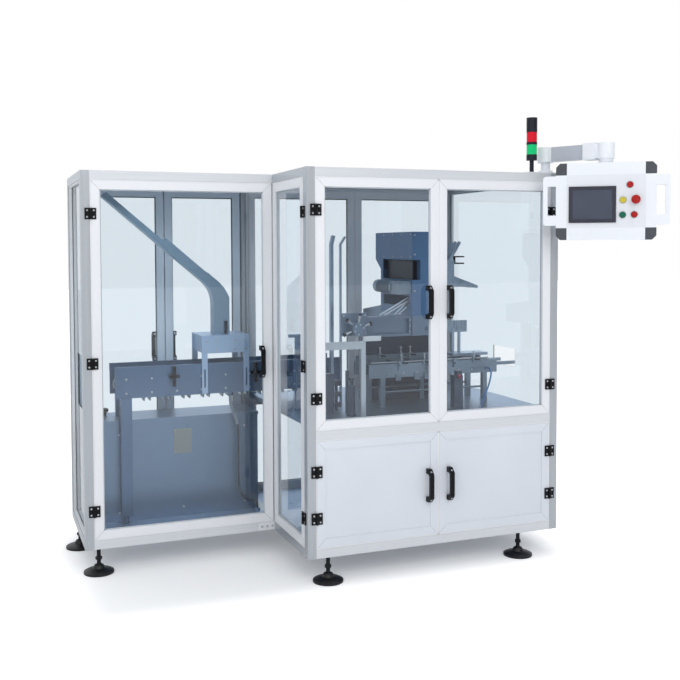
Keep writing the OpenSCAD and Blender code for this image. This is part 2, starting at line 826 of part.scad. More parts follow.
// Box over the conveyor that meters the products, on slotted straps down both side plates
module feed_head() {
    strap_t = 5;
    inset = 9;
    cap_t = 12;
    slot = [9, 90];
    x0 = -drop_in - head_w / 2;
    z0 = head_top - head_h;
    strap_low = conv_low + 4;
    y0 = conv_y - lip_out - strap_t;
    deep = conv_w + 2 * lip_out + 2 * strap_t;
    color(stainless) in_plan() translate([x0, y0, 0]) {
        translate([inset, 0, z0]) cube([head_w - 2 * inset, deep, head_h - cap_t + 1]);
        translate([0, 0, head_top - cap_t]) cube([head_w, deep, cap_t]);
        for (x = [0, head_w - strap_w], y = [0, deep - strap_t]) translate([x, y, strap_low]) difference() {
            cube([strap_w, strap_t, head_top - strap_low - 1]);
            translate([(strap_w - slot.x) / 2, -1, strap_w]) cube([slot.x, strap_t + 2, slot.y]);
        }
    }
}

// A T-handled clamp: a stud off the plate at y = 0, with a crossed grip
module cross_clamp() {
    stud = [9, 26];
    grip = [50, 96, 12];
    bar = 14;
    rotate([90, 0, 0]) {
        cylinder(r = stud[0], h = stud[1]);
        for (size = [[grip.x, bar, grip.z], [bar, grip.y, grip.z]])
            translate([-size.x / 2, -size.y / 2, stud[1] - 1]) cube(size);
    }
}

// Black clamps on the conveyor, and the fork that holds the carton guides
module clamps() {
    fork = [56, 12, 40];
    prong = 7;
    color(black) in_plan() {
        for (x = [-drop_in - 256, -35]) translate([x, conv_y, conv_top - lip_h - 12]) cross_clamp();
        translate([tower_x + tower_w + guide_out, tower_y, guide_top - fork.z / 2]) difference() {
            cube(fork);
            translate([prong, -1, prong]) cube([fork.x, fork.y + 2, fork.z - 2 * prong]);
        }
    }
}

// A tube along a path: ref is a direction that the path never takes
function unit(v) = v / norm(v);
function path_dir(path, i) = unit(path[min(i + 1, len(path) - 1)] - path[max(i - 1, 0)]);
module swept_tube(path, radii, ref) {
    sides = 10;
    count = len(path);
    points = [for (i = [0 : count - 1])
        let (t = path_dir(path, i), b = unit(cross(t, ref)), n = cross(b, t))
            for (k = [0 : sides - 1]) let (a = 360 * k / sides)
                path[i] + radii[i] * (cos(a) * n + sin(a) * b)];
    walls = [for (i = [0 : count - 2], k = [0 : sides - 1]) let (at = i * sides, next = (k + 1) % sides)
        [at + k, at + sides + k, at + sides + next, at + next]];
    polyhedron(points, concat([[for (k = [0 : sides - 1]) k]], walls,
                              [[for (k = [sides - 1 : -1 : 0]) (count - 1) * sides + k]]));
}

module signal_conduit() {
    color(black) in_plan()
        swept_tube(conduit_path, [for (p = conduit_path) conduit_r[p.z > conduit_end_z ? 0 : 1]], [0, 1, 0]);
}

module air_tube() {
    color(air_blue) in_plan() swept_tube(air_path, [for (p = air_path) air_r], [1, 0, 0]);
}

// Side outline of the magazine's housing, inset by t: a deep head on a narrower neck
function tower_points(t, low) =
    let (head_low = tower_top - tower_head, reach = tower_d - neck_d, drop = reach * 0.78,
         lift = t * (norm([reach, drop]) - drop) / reach)
    [[t, low], [neck_d - t, low], [neck_d - t, head_low - drop + lift], [tower_d - t, head_low + lift],
     [tower_d - t, tower_top - t], [t, tower_top - t]];

// Sheet housing of the carton magazine, open at the near corner below its head and low in its side
module magazine_tower() {
    head_low = tower_top - tower_head;
    corner = [46, 348, tower_mouth];
    window = [37, 308, 51];
    sill = 45;
    fin = [4, 330, 150];
    color(dark_steel) in_plan() translate([tower_x, tower_y, 0]) {
        difference() {
            rotate([90, 0, 90]) linear_extrude(tower_w) polygon(tower_points(0, beam_top));
            translate([wall_t, 0, 0]) rotate([90, 0, 90]) linear_extrude(tower_w - 2 * wall_t)
                polygon(tower_points(wall_t, beam_top - 1));
            translate([-1, -1, head_low - corner.z]) cube(corner);
            translate([-1, window.x, beam_top + sill]) cube([wall_t + 2, window.y, window.z]);
        }
        for (i = [1 : 3]) translate([i * tower_w / 4, wall_t - 1, head_low - fin.z]) cube(fin);
    }
}

// Gear motor along the tower's side: a gear block, a flange, a motor and its end bell
module magazine_drive() {
    block = [62, 100, 64];
    motor = [30, 215];
    flange = [35, 12];
    bell = [33, 40];
    motor_z = tower_top - tower_head - tower_mouth - block.z / 2 - 6;
    color(stainless) in_plan() translate([tower_x - block.x, tower_y + 12, motor_z]) {
        translate([0, 0, -block.z / 2]) cube(block);
        translate([block.x - flange[0] - 1, block.y, 0]) rotate([-90, 0, 0]) {
            cylinder(r = motor[0], h = motor[1]);
            cylinder(r = flange[0], h = flange[1]);
            translate([0, 0, motor[1] - bell[1]]) cylinder(r = bell[0], h = bell[1]);
        }
    }
}

// A flat bar that stands up and leans over towards +x at its top
module bent_bar(w, t, straight, lean, tail) {
    end = [t + tail * sin(lean), straight + tail * cos(lean)];
    rotate([90, 0, 0]) linear_extrude(w)
        polygon([[0, 0], [t, 0], [t, straight], end, end + t * [-cos(lean), sin(lean)],
                 [0, straight + t * tan(lean / 2)]]);
}

// Upright guide bars of the magazine, flared at the top, and the sloping rods in its neck
module magazine_rods() {
    bars = [[110, 600, 20, 14, 2 * bar_t], [61, 590, 16, 34, bar_t]];
    flare = 44;
    bend_z = tower_top - 62;
    cross_bar = 12;
    rod_r = 4;
    high = [wall_t + 34, beam_top + 76];
    low = [neck_d - wall_t - 14, beam_top + cross_bar / 2];
    run = high - low;
    color(stainless) in_plan() {
        for (at = bars) translate([track_x - at[0], at[1], table_top])
            bent_bar(at[2], at[4], bend_z - table_top, at[3], flare);
        translate([tower_x, tower_y, 0]) {
            for (at = [low, high]) translate([wall_t, at.x - cross_bar / 2, at.y - cross_bar / 2])
                cube([tower_w - 2 * wall_t, cross_bar, cross_bar]);
            for (i = [1 : 4]) translate([i * tower_w / 9, low.x, low.y])
                rotate([atan2(-run.x, run.y), 0, 0]) cylinder(r = rod_r, h = norm(run), $fn = 24);
        }
    }
}

// Beam that carries the tower over the track, on two posts, with a front knob; a gantry hollowed at its
// front reaches to the left and holds the carton picker's plate and drum
module tower_columns() {
    rim = 13;
    hollow = 20;
    gantry = [8, 40];
    picker = [136, 12, 110];
    drum = [34, 66];
    col = 44;
    wedge = 34;
    beam_l = rear_in - beam_rear - tower_y;
    beam_z = beam_top - beam_h;
    knob = [88, 32];
    color(stainless) in_plan() translate([tower_x, tower_y, 0]) {
        translate([0, 0, beam_z]) cube([tower_w, beam_l, beam_h]);
        translate([-gantry_l, gantry[0], beam_z]) {
            difference() {
                cube([gantry_l + 1, gantry[1], beam_h]);
                translate([rim, -1, rim]) cube([gantry_l - 2 * rim, hollow + 1, beam_h - 2 * rim]);
            }
            translate([1 - picker.x, 4, 10]) cube(picker);
            translate([1 - picker.x / 2, 5, 45]) rotate([90, 0, 0]) cylinder(r = drum[0], h = drum[1]);
        }
        translate([0, neck_d, beam_top - 1]) rotate([90, 0, 90]) linear_extrude(tower_w)
            polygon([[0, 0], [beam_l - neck_d, 0], [0, wedge]]);
        for (y = [housing_rear + column_gap - tower_y, beam_l - 2 * col])
            translate([(tower_w - col) / 2, y, table_top]) cube([col, col, beam_z - table_top + 1]);
        translate([knob.x, 0, beam_z + knob.y]) rotate([90, 0, 0]) {
            cylinder(r = 17, h = 6);
            cylinder(r = 9, h = 16);
        }
    }
}

// Right edge of the guides' plate off the tower's side, and the plate's top
guide_out = 43;
guide_top = tower_top - 141;

// Tray, slanted guides and their plate on the tower's right side
module magazine_guides() {
    side_t = 12;
    tray = [185, 120, 14];
    tray_t = 5;
    fall = 20;
    lean = 32;
    slat = [14, 8, 130];
    slat_y = [2, 42, 82];
    seat_h = 12;
    set_off = 2;
    tray_z = guide_top - 80;
    side_low = tray_z - 60;
    web = [tray.x * 0.9, 52];
    color(stainless) in_plan() translate([tower_x + tower_w, tower_y, 0]) {
        translate([0, 0, side_low]) cube([guide_out, side_t, guide_top - side_low]);
        translate([set_off, 1, tray_z]) rotate([0, fall, 0]) rotate([90, 0, 90]) linear_extrude(tray.x)
            polygon([[0, 0], [tray.y, 0], [tray.y, tray.z], [tray.y - tray_t, tray.z],
                     [tray.y - tray_t, tray_t], [tray_t, tray_t], [tray_t, tray.z], [0, tray.z]]);
        translate([set_off, tray_t + 3, tray_z]) rotate([90, 0, 0]) linear_extrude(tray_t)
            polygon([[0, -web.y], [0, tray_t / 2], [web.x, tray_t / 2 - web.x * tan(fall)]]);
        for (y = slat_y) translate([set_off, y, guide_top - 16]) rotate([0, lean, 0]) cube(slat);
        translate([0, 1, guide_top - 10 - seat_h]) cube([slat.x + 4, slat_y[2] + slat.y, seat_h]);
    }
}

// Press over the track: a plate off the beam, two guide rods and the foot that closes the cartons
module carton_press() {
    plate = [138, 12, 59];
    foot = [200, track_w / 2 - 5, 14];
    foot_x = 37;
    foot_z = track_top + 16;
    press_clear = 20;
    plate_z = max(beam_top - 92, foot_z + foot.z + press_clear);
    rod_r = 8;
    rods = [60, 96];
    bush = [rod_r + 5, 18];
    color(stainless) in_plan() translate([tower_x + tower_w, track_y + track_w / 2, 0]) {
        translate([0, -plate.y / 2, plate_z]) cube(plate);
        for (x = rods) translate([x, 0, foot_z + 1]) cylinder(r = rod_r, h = plate_z - foot_z + 6);
        for (x = rods) translate([x, 0, plate_z + 1]) cylinder(r = bush[0], h = bush[1]);
        translate([foot_x, -foot.y / 2, foot_z]) cube(foot);
    }
}

// Posts on the table: a sensor block, an air cylinder with its rod, and a lever stand
module table_posts() {
    sensor = [46, 40, 158];
    eye = [30, 24, 26];
    air = [17, 140];
    base = [23, 12];
    rod = [6, 34];
    knob = [12, 8];
    stand = [26, 26, 350];
    lever = [60, 14, 14];
    rod_post = [8, 198];
    block = [40, 30, 184];
    valve_post = [12, 12, 150];
    valve = [30, 26, 22];
    color(dark_steel) in_plan() {
        translate([tower_x + 122, tower_y - 210, table_top]) {
            cube(sensor);
            translate([(sensor.x - eye.x) / 2, -6, sensor.z - 4]) cube(eye);
        }
        translate([track_x - 154, track_y - 152, table_top]) {
            cylinder(r = base[0], h = base[1]);
            cylinder(r = air[0], h = air[1]);
            cylinder(r = rod[0], h = air[1] + rod[1]);
            translate([0, 0, air[1] + rod[1] - knob[1]]) cylinder(r = knob[0], h = knob[1]);
        }
        translate([track_x - 348, track_y + 48, table_top]) {
            cube(stand);
            translate([-34, (stand.y - lever.y) / 2, stand.z - 1]) cube(lever);
        }
        translate([track_x - 145, track_y - 74, table_top]) cylinder(r = rod_post[0], h = rod_post[1]);
        translate([track_x - 243, track_y - 57, table_top]) cube(block);
        translate([track_x - 179, track_y - 11, table_top]) {
            cube(valve_post);
            for (z = [20, 72, 124]) translate([(valve_post.x - valve.x) / 2, -20, z]) cube(valve);
        }
    }
}

// Closed housing of the track's drive behind the far rail, with a plate that shields the tower's posts
module drive_housing() {
    shield_t = 12;
    head_room = 8;
    h = beam_top - beam_h - head_room - table_top;
    color(dark_steel) in_plan() translate([housing_x, track_y + track_w + housing_gap, table_top]) {
        cube([housing_w, housing_d, h]);
        translate([housing_w - 1, housing_d - shield_t, 0]) cube([shield_w + 1, shield_t, h]);
    }
}

// Carton chain: radius of its loop and height of its shafts over the slides
lug_r = 20;
lug_link_t = 6;
lug_in = lug_r + 8;
slide_h = 12;
rail_t = 14;
track_low = track_top - 66;
lug_z = track_low + slide_h + seat_gap + lug_r;

// Rails, slides, chain wheels, clamps and legs of the carton track
module carton_track() {
    leg = 24;
    wheel_w = 16;
    shaft_r = 8;
    rod_r = 5;
    clamp = [18, 12, 44];
    clamp_pitch = 150;
    knob = [7, 14];
    leg_x = [60, track_l / 2, track_l - 80];
    color(stainless) in_plan() translate([track_x, track_y, 0]) {
        for (y = [0, track_w - rail_t])
            translate([0, y, track_low]) cube([track_l, rail_t, track_top - track_low]);
        for (x = leg_x) translate([x, 0, track_low]) cube([leg, track_w, slide_h]);
        for (x = leg_x, y = [0, track_w - leg])
            translate([x, y, table_top]) cube([leg, leg, track_low - table_top + 1]);
        for (y = [leg / 2, track_w - leg / 2]) translate([leg_x[0], y, (table_top + track_low) / 2])
            rotate([0, 90, 0]) cylinder(r = rod_r, h = leg_x[2] - leg_x[0] + leg / 2);
        for (i = [1 : 3]) translate([i * clamp_pitch, 1 - clamp.y, track_top - clamp.z * 0.7]) {
            cube(clamp);
            translate([clamp.x / 2, 1, clamp.z / 2]) rotate([90, 0, 0]) cylinder(r = knob[0], h = knob[1]);
        }
        for (x = [lug_in, track_l - lug_in]) translate([x, 0, lug_z]) rotate([-90, 0, 0]) {
            cylinder(r = shaft_r, h = track_w);
            translate([0, 0, (track_w - wheel_w) / 2])
                cylinder(r = lug_r - lug_link_t - seat_gap, h = wheel_w);
        }
        translate([air_path[0].x - track_x, 1, air_path[0].z]) rotate([90, 0, 0])
            cylinder(r = air_r + 4, h = track_y - air_path[0].y + 1);
    }
}

module carton_chain() {
    w = 40;
    lug = [10, 26];
    lug_pitch = 100;
    color(dark_steel) in_plan()
        translate([track_x, track_y + (track_w + w) / 2, lug_z]) rotate([90, 0, 0]) linear_extrude(w) {
            difference() {
                loop_outline(lug_in, track_l - lug_in, lug_r);
                loop_outline(lug_in, track_l - lug_in, lug_r - lug_link_t);
            }
            for (x = [lug_in + 12 : lug_pitch : track_l - lug_in - 12])
                translate([x, lug_r - 1]) square(lug);
        }
}

// Two bars along the rails' inner faces that lead the full cartons out through the right side
module outfeed_guides() {
    lap = lug_in - 10;
    x0 = track_x + track_l - lap;
    color(stainless) in_plan() for (y = [track_y + rail_t, track_y + track_w - rail_t - guide_bar])
        translate([x0, y, guide_z]) cube([main_w - x0, guide_bar, guide_bar]);
}

// Square tube stand at the front left of the table
module tube_stand() {
    tube = 22;
    head = [200 + tube, tube, 34];
    color(silver) in_plan() translate([track_x - 142, track_y - 239, table_top]) {
        cube([tube, tube, stand_h - head.z + 1]);
        translate([tube - head.x, 0, stand_h - head.z]) cube(head);
    }
}

// Plate on the frame's corner with the arm's flanged column
module arm_bracket() {
    plate = [180, 120];
    color(paint_white) in_plan() {
        translate([column.x + 50 - plate.x, column.y - 50, frame_top]) cube([plate.x, plate.y, bracket_t]);
        translate([column.x, column.y, frame_top + bracket_t - 1]) {
            cylinder(r = column_r + 12, h = 11);
            cylinder(r = column_r, h = column_top - frame_top - bracket_t + 1);
            cylinder(r = arm_pin_r, h = column_top - frame_top - bracket_t + 36);
        }
    }
}

lamp_at = [column.x - 95, column.y - 28];
lamp_z = frame_top + bracket_t;
lens_z = lamp_z + 82;
ring_h = 12;

// Pole, base, rings and buzzer of the stack lamp
module lamp_body() {
    buzzer_h = 68;
    color(black) in_plan() translate([lamp_at.x, lamp_at.y, 0]) {
        translate([0, 0, lamp_z]) cylinder(r = 10, h = 56);
        translate([0, 0, lamp_z + 55]) cylinder(r = lamp_r, h = lens_z - lamp_z - 55);
        translate([0, 0, lens_z]) cylinder(r = 6, h = 2 * lens_h + ring_h);
        translate([0, 0, lens_z + lens_h]) cylinder(r = lamp_r, h = ring_h);
        translate([0, 0, lens_z + 2 * lens_h + ring_h]) cylinder(r = lamp_r, h = buzzer_h);
    }
}

module lamp_lens(z) {
    in_plan() translate([lamp_at.x, lamp_at.y, z]) difference() {
        cylinder(r = lamp_r - 1, h = lens_h);
        translate([0, 0, -1]) cylinder(r = lamp_r - 5, h = lens_h + 2);
    }
}

module lamp_green() { color(lamp_green_c) lamp_lens(lens_z); }
module lamp_red() { color(lamp_red_c) lamp_lens(lens_z + lens_h + ring_h); }

// Swivelling arm: an elbow on the column, a tube, a coupling and an elbow over the box
module control_arm() {
    low = column_top + barrel_gap;
    neck_low = box_top + collar_h + barrel_gap;
    coupling = [60, arm_w + 16, arm_h + 10];
    color(paint_white) in_plan() translate([column.x, column.y, low]) rotate(arm_dir) difference() {
        union() {
            cylinder(r = elbow_r, h = arm_h + 6);
            translate([0, -arm_w / 2, 3]) cube([arm_l, arm_w, arm_h]);
            translate([arm_l - elbow_r - coupling.x, -coupling.y / 2, -2]) cube(coupling);
            translate([arm_l, 0, 0]) cylinder(r = elbow_r, h = arm_h + 6);
            translate([arm_l, 0, neck_low - low]) cylinder(r = elbow_r - 6, h = low - neck_low + 1);
        }
        translate([0, 0, -1]) cylinder(r = arm_pin_r + run_gap, h = 40);
        translate([arm_l, 0, neck_low - low - 1]) cylinder(r = arm_pin_r + run_gap, h = 40);
    }
}

module at_box() {
    in_plan() translate([box_at.x, box_at.y, box_z]) rotate(-box_turn) children();
}

// The four corners of the box, seen from the front
module box_corners() {
    for (sx = [-1, 1], top = [0, 1])
        translate([sx * box_w / 2, 0, top * box_h])
            mirror([sx > 0 ? 1 : 0, 0, 0]) mirror([0, 0, top]) children();
}

module corner_block(grow) {
    cut = 18;
    rotate([90, 0, 0]) translate([0, 0, -box_d / 2 - grow]) linear_extrude(box_d + 2 * grow)
        polygon([[-grow, cut], [cut, -grow], [block_w, -grow], [block_w, block_h], [-grow, block_h]]);
}

module control_box() {
    color(paint_white) at_box() {
        difference() {
            translate([-box_w / 2, -box_d / 2, 0]) cube([box_w, box_d, box_h]);
            box_corners() translate([-1, -box_d, -1]) cube([block_w + 1, 2 * box_d, block_h + 1]);
            translate([panel_in - box_w / 2, -box_d / 2 - 1, block_h])
                cube([box_w - 2 * panel_in, panel_t + 1, box_h - 2 * block_h]);
        }
        translate([0, 0, box_h]) cylinder(r = elbow_r - 6, h = collar_h);
        translate([0, 0, box_h]) cylinder(r = arm_pin_r, h = collar_h + 34);
    }
}

module control_corners() { color("#4c4f57") at_box() box_corners() corner_block(0); }

module control_panel() {
    color(silver) at_box() translate([panel_in - box_w / 2, -box_d / 2, block_h])
        cube([box_w - 2 * panel_in, panel_t, box_h - 2 * block_h]);
}

// Screen in its bezel, with a sunken display
module control_screen() {
    proud = 6;
    rim = 16;
    at = [-58, 159];
    color(black) at_box() translate([at.x - screen_size.x / 2, -box_d / 2 - proud, at.y - screen_size.y / 2])
        difference() {
            cube([screen_size.x, proud, screen_size.y]);
            translate([rim, -1, rim]) cube([screen_size.x - 2 * rim, 2, screen_size.y - 2 * rim]);
        }
}

// A push button: a collar on the panel and a round cap
module push_button(at, r, proud) {
    translate([at.x, -box_d / 2, at.y]) rotate([90, 0, 0]) {
        cylinder(r = r, h = 5);
        cylinder(r = r * 0.8, h = proud);
    }
}

module mushroom(at) {
    translate([at.x, -box_d / 2, at.y]) rotate([90, 0, 0]) {
        cylinder(r = mushroom_r * 0.6, h = 14);
        translate([0, 0, 14]) cylinder(r1 = mushroom_r * 0.9, r2 = mushroom_r, h = 8);
        translate([0, 0, 22]) cylinder(r1 = mushroom_r, r2 = mushroom_r * 0.7, h = 5);
    }
}

module buttons_red() {
    color(lamp_red_c) at_box() {
        push_button([104, 246], button_r, 12);
        push_button([123, 112], button_r, 12);
        mushroom([129, 179]);
    }
}
module button_yellow() { color("#e8d23a") at_box() push_button([75, 178], button_r, 12); }
module button_green() { color("#0b6b4f") at_box() push_button([73, 111], button_r, 12); }

// Bow grips on both sides of the box
module control_grips() {
    grip_l = box_h - 2 * block_h - 15;
    foot_l = 46;
    corner = 14;
    color(paint_white) at_box() for (s = [0, 1]) mirror([s, 0, 0])
        translate([-box_w / 2, -box_d / 2 + grip_d, box_h / 2 + 4]) rotate([90, 0, 0])
            linear_extrude(grip_d) mirror([1, 0]) bow(grip_l, grip_reach, grip_t, foot_l, corner);
}

frame_posts();
frame_rails_x();
frame_rails_y();
levelling_feet();
fixed_door_frames();
fixed_door_panes();
fixed_door_fittings();
hinge_leaves();
left_side_pane();
right_side_pane();
right_lower_panel();
roof_panels();
table_plate();
floor_pans();
base_cabinet();
infeed_door_frame();
infeed_door_pane();
infeed_door_fittings();
cabinet_door_left();
cabinet_door_left_fittings();
cabinet_door_right();
cabinet_door_right_fittings();
rear_door_left_frame();
rear_door_left_pane();
rear_door_left_fittings();
rear_door_right_frame();
rear_door_right_pane();
rear_door_right_fittings();
conveyor_frame();
conveyor_chain();
feed_chute();
feed_head();
clamps();
signal_conduit();
magazine_tower();
magazine_drive();
magazine_rods();
tower_columns();
magazine_guides();
carton_track();
carton_chain();
carton_press();
outfeed_guides();
air_tube();
tube_stand();
table_posts();
drive_housing();
arm_bracket();
lamp_body();
lamp_red();
lamp_green();
control_arm();
control_box();
control_corners();
control_panel();
control_screen();
buttons_red();
button_yellow();
button_green();
control_grips();
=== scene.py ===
"""An automatic cartoner in its guard frame, dressed for a plain studio picture."""
import json
import math

import bmesh
import bpy
from mathutils import Matrix, Quaternion, Vector

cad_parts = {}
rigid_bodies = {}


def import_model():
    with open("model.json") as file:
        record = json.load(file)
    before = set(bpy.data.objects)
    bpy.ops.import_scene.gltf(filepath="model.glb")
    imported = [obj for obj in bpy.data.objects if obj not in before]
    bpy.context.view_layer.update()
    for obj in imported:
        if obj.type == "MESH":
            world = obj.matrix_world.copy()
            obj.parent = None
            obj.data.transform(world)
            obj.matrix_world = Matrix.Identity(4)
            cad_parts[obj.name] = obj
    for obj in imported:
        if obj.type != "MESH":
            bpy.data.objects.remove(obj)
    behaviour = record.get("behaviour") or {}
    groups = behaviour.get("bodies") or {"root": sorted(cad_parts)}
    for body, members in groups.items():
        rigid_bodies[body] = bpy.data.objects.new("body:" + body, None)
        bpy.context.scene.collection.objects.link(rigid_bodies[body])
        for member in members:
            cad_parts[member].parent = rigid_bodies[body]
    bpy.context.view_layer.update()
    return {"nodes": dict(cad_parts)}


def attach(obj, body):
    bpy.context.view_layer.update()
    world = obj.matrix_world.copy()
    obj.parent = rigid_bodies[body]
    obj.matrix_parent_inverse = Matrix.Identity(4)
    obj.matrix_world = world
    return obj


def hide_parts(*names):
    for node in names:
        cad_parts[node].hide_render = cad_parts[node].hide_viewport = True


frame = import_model()
nodes = frame["nodes"]

# Camera: it stands at eye height in front of the infeed bay and looks across to the main bay.
# Its place, turn and lens were fitted to the frame's edges, on a picture 680 pixels square.
picture = 680
sensor_mm = 36.0
focal_px = 938.57
centre_px = (330.69, 288.11)
yaw, pitch, roll = (math.radians(a) for a in (20.892, 2.466, -0.2186))
look = Vector((math.sin(yaw) * math.cos(pitch), math.cos(yaw) * math.cos(pitch), -math.sin(pitch)))

camera = bpy.data.objects.new("camera", bpy.data.cameras.new("camera"))
bpy.context.scene.collection.objects.link(camera)
camera.location = (-1.6527, -4.1155, 1.455)
camera.rotation_mode = "QUATERNION"
camera.rotation_quaternion = look.to_track_quat("-Z", "Y") @ Quaternion((0, 0, 1), roll)
camera.data.sensor_width = sensor_mm
camera.data.lens = focal_px / picture * sensor_mm
camera.data.shift_x = (picture / 2 - centre_px[0]) / picture
camera.data.shift_y = (centre_px[1] - picture / 2) / picture
camera.data.clip_end = 200
bpy.context.scene.camera = camera
bpy.context.scene.view_settings.view_transform = "Standard"


# Studio: a white floor that keeps the machine's soft shadow, a white world and three wide lamps.
# Floor and world are white where they are seen; the light they give the object is dimmer and comes from above.
def linear(code):
    """A hex sRGB colour as the linear RGBA that Blender's sockets take."""
    parts = [int(code[i:i + 2], 16) / 255 for i in (1, 3, 5)]
    return [c / 12.92 if c <= 0.04045 else ((c + 0.055) / 1.055) ** 2.4 for c in parts] + [1.0]


def add(tree, kind, inputs=None, **settings):
    """Adds a node. Settings are its properties, and inputs are values or the sockets that feed it."""
    made = tree.nodes.new(kind)
    for name, value in settings.items():
        setattr(made, name, value)
    for name, value in (inputs or {}).items():
        if isinstance(value, bpy.types.NodeSocket):
            tree.links.new(value, made.inputs[name])
        else:
            made.inputs[name].default_value = value
    return made


def new_material(name):
    """A material with an empty node tree and its output node."""
    material = bpy.data.materials.new(name)
    material.use_nodes = True
    material.node_tree.nodes.clear()
    return material, material.node_tree, add(material.node_tree, "ShaderNodeOutputMaterial")


def seen_directly(tree):
    """A socket that is 1 for what is seen straight or through clear sheets, before any bounce of light."""
    path = add(tree, "ShaderNodeLightPath")
    bounces = add(tree, "ShaderNodeMath", {0: path.outputs["Diffuse Depth"], 1: path.outputs["Glossy Depth"]})
    return add(tree, "ShaderNodeMath", {0: bounces.outputs[0], 1: 0.5}, operation="LESS_THAN").outputs[0]


world = bpy.data.worlds.new("white_studio")
bpy.context.scene.world = world
world.use_nodes = True
sky = world.node_tree
sky.nodes.clear()
# Light comes most from above and behind, and glossy surfaces mirror a dimmer front.
toward = add(sky, "ShaderNodeSeparateXYZ", {0: add(sky, "ShaderNodeTexCoord").outputs["Generated"]})
above = add(sky, "ShaderNodeMapRange", {"Value": toward.outputs["Z"], "From Min": -0.3, "From Max": 0.9,
                                        "To Min": 0.36, "To Max": 0.82})
behind = add(sky, "ShaderNodeMapRange", {"Value": toward.outputs["Y"], "From Max": 0.9, "To Max": 0.5})
around = add(sky, "ShaderNodeMath", {0: above.outputs[0], 1: behind.outputs[0]})
dim = add(sky, "ShaderNodeMapRange", {"Value": toward.outputs["Y"], "From Min": -0.9, "From Max": 0.1, "To Min": 0.3})
mirrored = add(sky, "ShaderNodeLightPath").outputs["Is Glossy Ray"]
keep = add(sky, "ShaderNodeMapRange", {"Value": mirrored, "To Min": 1.0, "To Max": dim.outputs[0]})
ambient = add(sky, "ShaderNodeMath", {0: around.outputs[0], 1: keep.outputs[0]}, operation="MULTIPLY")
seen = seen_directly(sky)
level = add(sky, "ShaderNodeMapRange", {"Value": seen, "To Min": ambient.outputs[0], "To Max": 1.0})
hue = add(sky, "ShaderNodeMix", {"Factor": seen, "A": linear("#f5f8fd"), "B": linear("#ffffff")}, data_type="RGBA")
backdrop = add(sky, "ShaderNodeBackground", {"Color": hue.outputs["Result"], "Strength": level.outputs[0]})
add(sky, "ShaderNodeOutputWorld", {"Surface": backdrop.outputs[0]})

# The lift is small near the machine, where the floor keeps its shadow, and full further out and behind sheets.
paper, tree, out = new_material("white_paper_floor")
place = add(tree, "ShaderNodeTexCoord")
footprint_mid, footprint_half = (-0.13, 0.2, 0.0), (1.0, 0.5, 0.0)
off = add(tree, "ShaderNodeVectorMath", {0: place.outputs["Object"], 1: footprint_mid}, operation="SUBTRACT")
span = add(tree, "ShaderNodeVectorMath", {0: off.outputs[0]}, operation="ABSOLUTE")
past = add(tree, "ShaderNodeVectorMath", {0: span.outputs[0], 1: footprint_half}, operation="SUBTRACT")
outside = add(tree, "ShaderNodeVectorMath", {0: past.outputs[0], 1: (0.0, 0.0, 0.0)}, operation="MAXIMUM")
away = add(tree, "ShaderNodeVectorMath", {0: outside.outputs[0]}, operation="LENGTH")
lift = add(tree, "ShaderNodeMapRange",
           {"Value": away.outputs["Value"], "From Max": 0.4, "To Min": 0.18, "To Max": 0.9},
           interpolation_type="SMOOTHSTEP")
seen = seen_directly(tree)
glow = add(tree, "ShaderNodeMath", {0: seen, 1: lift.outputs[0]}, operation="MULTIPLY")
lifted = add(tree, "ShaderNodeEmission", {"Color": linear("#ffffff"), "Strength": glow.outputs[0]})
matt = add(tree, "ShaderNodeBsdfDiffuse", {"Color": linear("#f2f2f2")})
both = add(tree, "ShaderNodeAddShader", {0: matt.outputs[0], 1: lifted.outputs[0]})
plain = add(tree, "ShaderNodeEmission", {"Color": linear("#ffffff"), "Strength": 1.0})
path = add(tree, "ShaderNodeLightPath")
through = add(tree, "ShaderNodeMath", {0: path.outputs["Transmission Depth"], 1: seen}, operation="MULTIPLY",
              use_clamp=True)
shown = add(tree, "ShaderNodeMixShader", {0: through.outputs[0], 1: both.outputs[0], 2: plain.outputs[0]})
tree.links.new(shown.outputs[0], out.inputs["Surface"])

floor_half = 30
floor = bpy.data.objects.new("floor", bpy.data.meshes.new("floor"))
bpy.context.scene.collection.objects.link(floor)
corners = [(-floor_half, -floor_half, 0), (floor_half, -floor_half, 0),
           (floor_half, floor_half, 0), (-floor_half, floor_half, 0)]
floor.data.from_pydata(corners, [], [(0, 1, 2, 3)])
floor.data.materials.append(paper)

for name, stand, aim, size, watts in (
        ("key", (0.2, -5.4, 4.2), (0, 0, 0.9), 3.2, 84),
        ("fill", (-4.2, -4.2, 3.0), (-0.4, 0, 0.9), 3.0, 56),
        ("rim", (2.6, 4.6, 4.4), (0, 0, 1.0), 3.4, 45)):
    lamp = bpy.data.objects.new(name, bpy.data.lights.new(name, "AREA"))
    bpy.context.scene.collection.objects.link(lamp)
    lamp.location = stand
    lamp.rotation_euler = (Vector(aim) - Vector(stand)).to_track_quat("-Z", "Y").to_euler()
    lamp.data.size = size
    lamp.data.energy = watts


# Guard frame: extruded aluminium profile, natural satin anodised, bolted into two bays.
# The die leaves fine lines along each bar, which soften its gloss across the bar.
def dress(names, material):
    """Puts a material on CAD nodes."""
    for name in names.split():
        for holder in nodes[name].material_slots:
            holder.material = material


